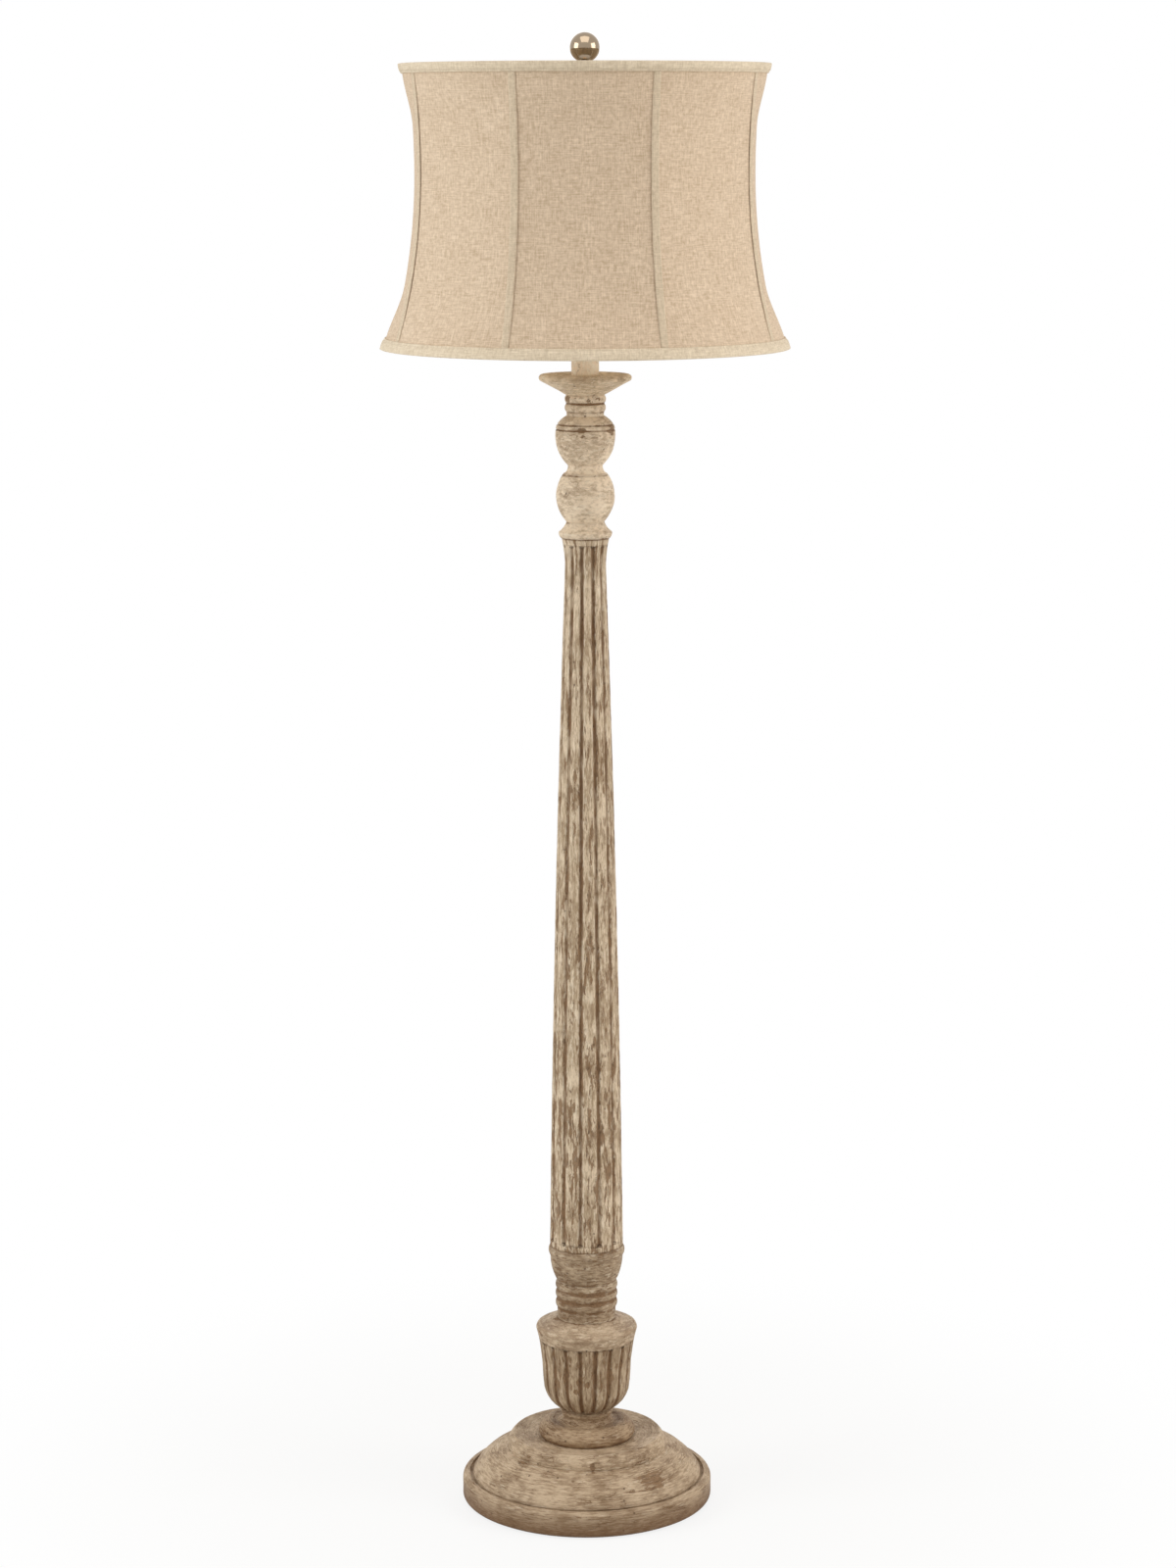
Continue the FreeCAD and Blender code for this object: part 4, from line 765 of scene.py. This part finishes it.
urnScars = [
    dict(at=(-0.008, -0.048, 0.148), size=(0.0035, 0.006, 0.0040), wear=1.2, depth=0.0006),
    dict(at=(-0.012, -0.045, 0.137), size=(0.0026, 0.006, 0.0030), wear=1.0, depth=0.0005),
    dict(at=(0.001, -0.048, 0.146), size=(0.0020, 0.006, 0.0036), wear=1.0, depth=0.0006),
    dict(at=(-0.022, -0.043, 0.158), size=(0.0022, 0.006, 0.0060), wear=0.9, depth=0.0003),
    dict(at=(0.026, -0.041, 0.151), size=(0.0040, 0.006, 0.0080), wear=0.6, depth=0.0),
    dict(at=(0.010, 0.047, 0.150), size=(0.0040, 0.006, 0.0050), wear=1.0, depth=0.0004),
]
urnFlutes = dict(scars=urnScars, count=19, phase=-7.7, radius=0.0023, depth=0.0022, low=0.1, high=0.184,
                 stopLow=False, perFlute=14, step=0.0016)
shaftFlutes = dict(count=12, phase=-9.6, radius=0.0024, depth=0.0022, low=0.3036, high=1.0791, stopLow=True,
                   perFlute=18, step=0.0026)
urnBands = dict(foot=0.106, shoulder=0.1866)  # beyond these heights it was painted across, not along
urnPiece = flutedPiece("flutedUrn", "urn", paint["urn"], **urnFlutes)
urnPiece.data.materials.append(paint["shoulder"])
for face in urnPiece.data.polygons:
    face.material_index = int(face.center.z > urnBands["shoulder"] or face.center.z < urnBands["foot"])
flutedPiece("flutedShaft", "shaft", paint["shaft"], **shaftFlutes)
print("fluted pieces made")


# shade
shade = dict(panels=8, foot=1.2938, top=1.5906, waist=1.4808, waistRadius=0.1876, topRadius=0.1944,
             bottomRadius=0.2166, dip=0.033, ease=0.2, topTrim=0.0082, bottomTrim=0.0102, cloth=0.0009,
             lining=0.0005, liningInset=0.0049, gap=0.0002, columns=40, rows=84)


def seamRadius(z):
    if z > shade["waist"]:
        run, rise = shade["topRadius"] - shade["waistRadius"], shade["top"] - shade["waist"]
    else:
        run, rise = shade["bottomRadius"] - shade["waistRadius"], shade["waist"] - shade["foot"]
    flare = (run ** 2 + rise ** 2) / (2 * run)
    return shade["waistRadius"] + flare - math.sqrt(flare ** 2 - (z - shade["waist"]) ** 2)


def panelRadius(z, share):
    # share goes from -1 at one seam to 1 at the next
    low, high = shade["foot"] + shade["bottomTrim"], shade["top"] - shade["topTrim"]
    ease = min(z - low, high - z) / ((high - low) * shade["ease"])
    ease = max(0.0, min(1.0, ease))
    dip = shade["dip"] * ease * ease * (3 - 2 * ease)
    return seamRadius(z) * (1 - dip * (1 - share * share))


def meridian(rows):
    heights = np.linspace(shade["foot"], shade["top"], rows)
    radii = np.array([seamRadius(z) for z in heights])
    return heights, runLength(np.stack([heights, radii], 1))


def closedSheet(name, outer, inner, flat, material):
    # one closed skin: across the outside, back across the inside, and faces over both ends
    rows, columns = outer.shape[:2]
    grid = np.concatenate([outer, inner[:, ::-1]], 1)
    flat = np.concatenate([flat, flat[:, ::-1]], 1)
    piece = newPiece(name, grid, material, wrapAlong=False, values=dict(cloth=flat))
    caps = []
    for base in (0, (rows - 1) * 2 * columns):
        for j in range(columns - 1):
            quad = (base + j, base + 2 * columns - 1 - j, base + 2 * columns - 2 - j, base + j + 1)
            caps.append(quad if base == 0 else quad[::-1])
    rebuild(piece.data, caps)
    return piece


def rebuild(mesh, extraFaces, sharpFrom=50):
    # adds the closing faces of an open grid and keeps its values
    saved = {}
    for layer in mesh.attributes:
        if layer.domain == "POINT" and layer.name != "position" and not layer.name.startswith("."):
            size = 3 if layer.data_type == "FLOAT_VECTOR" else 1
            data = np.zeros(len(mesh.vertices) * size, np.float32)
            layer.data.foreach_get("vector" if size == 3 else "value", data)
            saved[layer.name] = (layer.data_type, data)
    points = [v.co[:] for v in mesh.vertices]
    faces = [tuple(p.vertices) for p in mesh.polygons] + extraFaces
    mesh.clear_geometry()
    mesh.from_pydata(points, [], faces)
    for name, (kind, data) in saved.items():
        layer = mesh.attributes.get(name) or mesh.attributes.new(name, kind, "POINT")
        layer.data.foreach_set("vector" if kind == "FLOAT_VECTOR" else "value", data)
    mesh.polygons.foreach_set("use_smooth", [True] * len(faces))
    mesh.set_sharp_from_angle(angle=math.radians(sharpFrom))
    mesh.update()


# the cloth is pulled tight between the wires: faint vertical puckers that fade away from the bindings
puckers = dict(height=0.00016, across=9, along=6, seedStep=5, even=0.35, fade=0.035)


def clothShell(name, startAngle, inset, wall, material, columns, rows, seed):
    p = puckers
    half = math.pi / shade["panels"]
    heights, run = meridian(rows)
    shares = np.linspace(-1, 1, columns)
    across = shares * p["across"] + seed * p["seedStep"]
    pull = np.array([[noise.noise(Vector((x, z * p["along"], seed))) for x in across] for z in heights])
    fromEnd = np.minimum(heights - heights[0], heights[-1] - heights)
    fade = np.exp(-fromEnd / p["fade"])[:, None] * (1 - np.abs(shares)[None] ** 4)
    push = p["height"] * pull * (p["even"] + fade) * (1 - np.abs(shares)[None] ** 6)
    radii = np.array([[panelRadius(z, share) for share in shares] for z in heights])
    turn = startAngle + shares * half
    skins = []
    for depth in (inset, inset + wall):
        r = radii - depth + push
        skins.append(np.stack([r * np.cos(turn), r * np.sin(turn), heights[:, None] * np.ones(columns)], 2))
    seams = np.array([seamRadius(z) for z in heights])
    flat = np.stack([np.outer(seams, shares * half) + seed * 0.37, np.outer(run, np.ones(columns)),
                     np.zeros((rows, columns))], 2)
    piece = closedSheet(name, skins[0], skins[1], flat, material)
    middle = (skins[0] + skins[1]) / 2
    u = middle[1:, :-1] - middle[:-1, :-1]
    v = middle[:-1, 1:] - middle[:-1, :-1]
    area = float(np.linalg.norm(np.cross(u, v), axis=2).sum())
    width = 2 * half * shade["bottomRadius"]
    return piece, area, width, float(run[-1])


panelStep = 2 * math.pi / shade["panels"]
for k in range(shade["panels"]):
    node = "shade_panel_%d" % (k + 1)
    panel, area, width, length = clothShell("linenPanel%d" % (k + 1), k * panelStep, 0.0, shade["cloth"],
                                            cloth["linen"], shade["columns"], shade["rows"], k)
    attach(panel, "shade")
    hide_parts(node)
for k in range(shade["panels"]):
    gore, area, width, length = clothShell("liningGore%d" % (k + 1), k * panelStep, shade["liningInset"],
                                           shade["lining"], cloth["lining"], 20, 48, k + 20)
    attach(gore, "shade")
    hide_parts("shade_lining")
print("shade panels and lining made")


# folded strips over the seams: two soft edges and a faint valley down the middle
stripStyle = dict(width=0.0084, thickness=0.0011, rows=90, across=13,
                  wavers=((0.00022, 38, 0), (0.0001, 160, 5)),  # size, how often and seed
                  roundness=4.5, valley=0.16, valleyWidth=0.3, edge=0.00015)


def seamStrip(k):
    c = stripStyle
    low = shade["foot"] + shade["bottomTrim"] + shade["gap"]
    high = shade["top"] - shade["topTrim"] - shade["gap"]
    angle = (k + 0.5) * panelStep
    outer, inner, flat = [], [], []
    for z in np.linspace(low, high, c["rows"]):
        r = seamRadius(z) + shade["gap"]
        waver = sum(size * noise.noise(Vector((z * often, k * 3.1, seed)))
                    for size, often, seed in c["wavers"])
        for share in np.linspace(-1, 1, c["across"]):
            bulge = (1 - abs(share) ** c["roundness"]) ** 0.5
            bulge -= c["valley"] * math.exp(-(share / c["valleyWidth"]) ** 2)
            side = share * c["width"] / 2 + waver
            lift = r + max(c["edge"], c["thickness"] * bulge)
            turn = angle + side / r
            outer.append((lift * math.cos(turn), lift * math.sin(turn), z))
            inner.append((r * math.cos(turn), r * math.sin(turn), z))
            flat.append((side + k, z, 0))
    grids = [np.array(points).reshape(c["rows"], c["across"], 3) for points in (outer, inner, flat)]
    piece = closedSheet("seamStrip%d" % (k + 1), *grids, cloth["strip"])
    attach(piece, "shade")
    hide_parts("seam_strips")


for k in range(shade["panels"]):
    seamStrip(k)


# bindings folded over the rims, slightly gathered because the band is cut straight
bindingStyle = dict(
    thickness=0.0036, segments=420, bow=0.0007,
    hem=((0.0, 0.0), (0.0013, -0.0001), (0.0021, 0.0009), (0.0022, 0.0022)),  # out from the cloth, along it
    outside=(0.25, 0.45, 0.62, 0.76, 0.88, 0.96), crownSteps=9, crownRise=0.0009,
    flap=0.0012, flapDrop=0.001,
    gathers=((0.00028, 26, 3), (0.0002, 90, 9)), gatherFrom=0.0002,
)


def binding(name, node, openSide, edge, roll):
    c, gap = bindingStyle, shade["gap"]
    side = 1 if edge > openSide else -1
    fold = edge + side * gap
    crown = fold + side * roll
    back = shade["liningInset"] + shade["lining"] + gap
    openRadius, full = seamRadius(openSide), seamRadius(edge)
    # half section: hem, soft outside with a stitched valley, rolled crown, inside flap
    section = [(openRadius + gap + out, openSide + side * up) for out, up in c["hem"]]
    start = c["hem"][-1][0]
    for share in c["outside"]:
        out = start + (c["thickness"] - start) * share ** 1.5 + math.sin(math.pi * share) * c["bow"]
        section.append((openRadius + (full - openRadius) * share + gap + out,
                        openSide + (crown - openSide) * share))
    outX, inX = section[-1][0], full - back - c["flap"]
    for share in np.linspace(0.06, 0.94, c["crownSteps"]):
        angle = math.pi * share
        x = (outX + inX) / 2 + (outX - inX) / 2 * math.cos(angle)
        section.append((x, crown + side * c["crownRise"] * (math.sin(angle) - 0.4)))
    section += [(inX, crown - side * c["flapDrop"]), (openRadius - back - c["flap"], openSide),
                (openRadius - back, openSide), (full - back, fold), (full + gap, fold)]
    points = np.array(section[::side])
    turn = fullTurn(c["segments"])
    grid = revolve(points, turn)
    gathered = points[:, 0] > (full if side > 0 else openRadius) + gap + c["gatherFrom"]
    gather = [sum(size * noise.noise(Vector((math.cos(a) * often, math.sin(a) * often, seed * side)))
                  for size, often, seed in c["gathers"]) for a in turn]
    push = gathered[:, None] * np.array(gather)[None]
    grid[:, :, 0] += push * np.cos(turn)
    grid[:, :, 1] += push * np.sin(turn)
    flat = np.stack([np.outer(np.full(len(points), full), turn),
                     np.outer(runLength(points), np.ones(len(turn))), np.zeros(grid.shape[:2])], 2)
    piece = newPiece(name, grid, cloth["trim"], values=dict(cloth=flat))
    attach(piece, "shade")
    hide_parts(node)


binding("topBinding", "shade_top_trim", shade["top"] - shade["topTrim"], shade["top"], 0.0017)
binding("bottomBinding", "shade_bottom_trim", shade["foot"] + shade["bottomTrim"], shade["foot"], 0.0011)
print("seam strips and bindings made")


# felt under the base
felt = dict(radius=0.134, thickness=0.002, edge=0.0007, segments=200)


def feltPad():
    r, h, e = felt["radius"], felt["thickness"], felt["edge"]
    points = np.array([(0.0006, 0), (0.05, 0), (0.10, 0), (r - e, 0), (r - e * 0.3, e * 0.3), (r, h / 2),
                       (r - e * 0.3, h - e * 0.3), (r - e, h), (0.10, h), (0.05, h), (0.0006, h)])
    piece = newPiece("feltPad", revolve(points, fullTurn(felt["segments"])), small["felt"])
    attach(piece, "stand")
    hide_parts("base_felt")


feltPad()
print("felt made")


# floor, light and camera
floorLook = dict(size=9.0, plain=screen(238, 237, 234), near=0.22, far=0.9, keep=0.82)


def whiteMask(s):
    # the eye, polished metal and glass see plain white; everything else sees the real surface
    path = s.add("ShaderNodeLightPath")
    seen = s.math("MAXIMUM", path.outputs["Is Camera Ray"], path.outputs["Is Glossy Ray"])
    return s.math("MAXIMUM", seen, path.outputs["Is Transmission Ray"])


def showMix(s, amount, first, second, output):
    mixed = s.add("ShaderNodeMixShader")
    s.feed(mixed.inputs[0], amount)
    s.feed(mixed.inputs[1], first.outputs[0])
    s.feed(mixed.inputs[2], second.outputs[0])
    s.feed(s.add(output).inputs["Surface"], mixed.outputs[0])


def makeFloor():
    f = floorLook
    half = f["size"]
    mesh = bpy.data.meshes.new("floor")
    corners = [(-half, -half, 0), (half, -half, 0), (half, half, 0), (-half, half, 0)]
    mesh.from_pydata(corners, [], [(0, 1, 2, 3)])
    floor = bpy.data.objects.new("floor", mesh)
    bpy.context.scene.collection.objects.link(floor)
    material = bpy.data.materials.new("paleFloor")
    material.use_nodes = True
    material.node_tree.nodes.clear()
    s = Shader(material.node_tree)
    plain = s.add("ShaderNodeBsdfDiffuse")
    plain.inputs["Color"].default_value = f["plain"]
    white = s.add("ShaderNodeEmission")
    white.inputs["Color"].default_value = (1, 1, 1, 1)
    length = s.add("ShaderNodeVectorMath", operation="LENGTH")
    s.feed(length.inputs[0], s.add("ShaderNodeTexCoord").outputs["Object"])
    far = s.ramp(length.outputs["Value"], f["near"], f["far"])
    amount = s.math("ADD", f["keep"], s.math("MULTIPLY", far, 1 - f["keep"]))
    showMix(s, s.math("MULTIPLY", whiteMask(s), amount), plain, white, "ShaderNodeOutputMaterial")
    mesh.materials.append(material)


makeFloor()

lighting = dict(
    world=(0.42, (1.0, 0.945, 0.875)),
    left=dict(at=(-2.3, -0.8, 1.6), size=(1.5, 2.2), power=38.5, color=(0.93, 0.975, 1.0)),
    right=dict(at=(2.3, -0.8, 1.6), size=(1.5, 2.2), power=37.0, color=(0.97, 0.98, 0.98)),
    top=dict(at=(0.0, -0.8, 3.2), size=(1.8, 1.8), power=16.0, color=(1.0, 0.99, 0.97)),
    back=dict(at=(0.0, 2.6, 1.6), size=(2.0, 2.2), power=12.0, color=(1.0, 0.99, 0.97)),
)


def areaLight(name, at, size, power, color, aim=(0, 0, 0.9)):
    lamp = bpy.data.lights.new(name, "AREA")
    lamp.shape = "RECTANGLE"
    lamp.size, lamp.size_y = size
    lamp.energy = power
    lamp.color = color
    holder = bpy.data.objects.new(name, lamp)
    holder.location = at
    holder.rotation_euler = (Vector(aim) - Vector(at)).to_track_quat("-Z", "Y").to_euler()
    holder.visible_camera = False
    bpy.context.scene.collection.objects.link(holder)


for name in ("left", "right", "top", "back"):
    areaLight("soft_" + name, **lighting[name])

world = bpy.data.worlds.new("studio")
bpy.context.scene.world = world
world.use_nodes = True
world.node_tree.nodes.clear()
s = Shader(world.node_tree)
ambient = s.add("ShaderNodeBackground")
ambient.inputs["Strength"].default_value = lighting["world"][0]
ambient.inputs["Color"].default_value = lighting["world"][1] + (1.0,)
white = s.add("ShaderNodeBackground")
white.inputs["Color"].default_value = (1, 1, 1, 1)
showMix(s, whiteMask(s), ambient, white, "ShaderNodeOutputWorld")

eye = dict(distance=4.071, height=1.5349, pitchDown=10.0, lens=86.625, sensor=36.0,
           aside=0.0034, roll=0.0014)
cameraData = bpy.data.cameras.new("camera")
cameraData.lens = eye["lens"]
cameraData.sensor_width = eye["sensor"]
camera = bpy.data.objects.new("camera", cameraData)
camera.location = (eye["aside"], -eye["distance"], eye["height"])
camera.rotation_euler = (math.radians(90 - eye["pitchDown"]), eye["roll"], 0)
bpy.context.scene.collection.objects.link(camera)
bpy.context.scene.camera = camera
bpy.context.scene.view_settings.view_transform = "Standard"
print("stage, light and camera made")
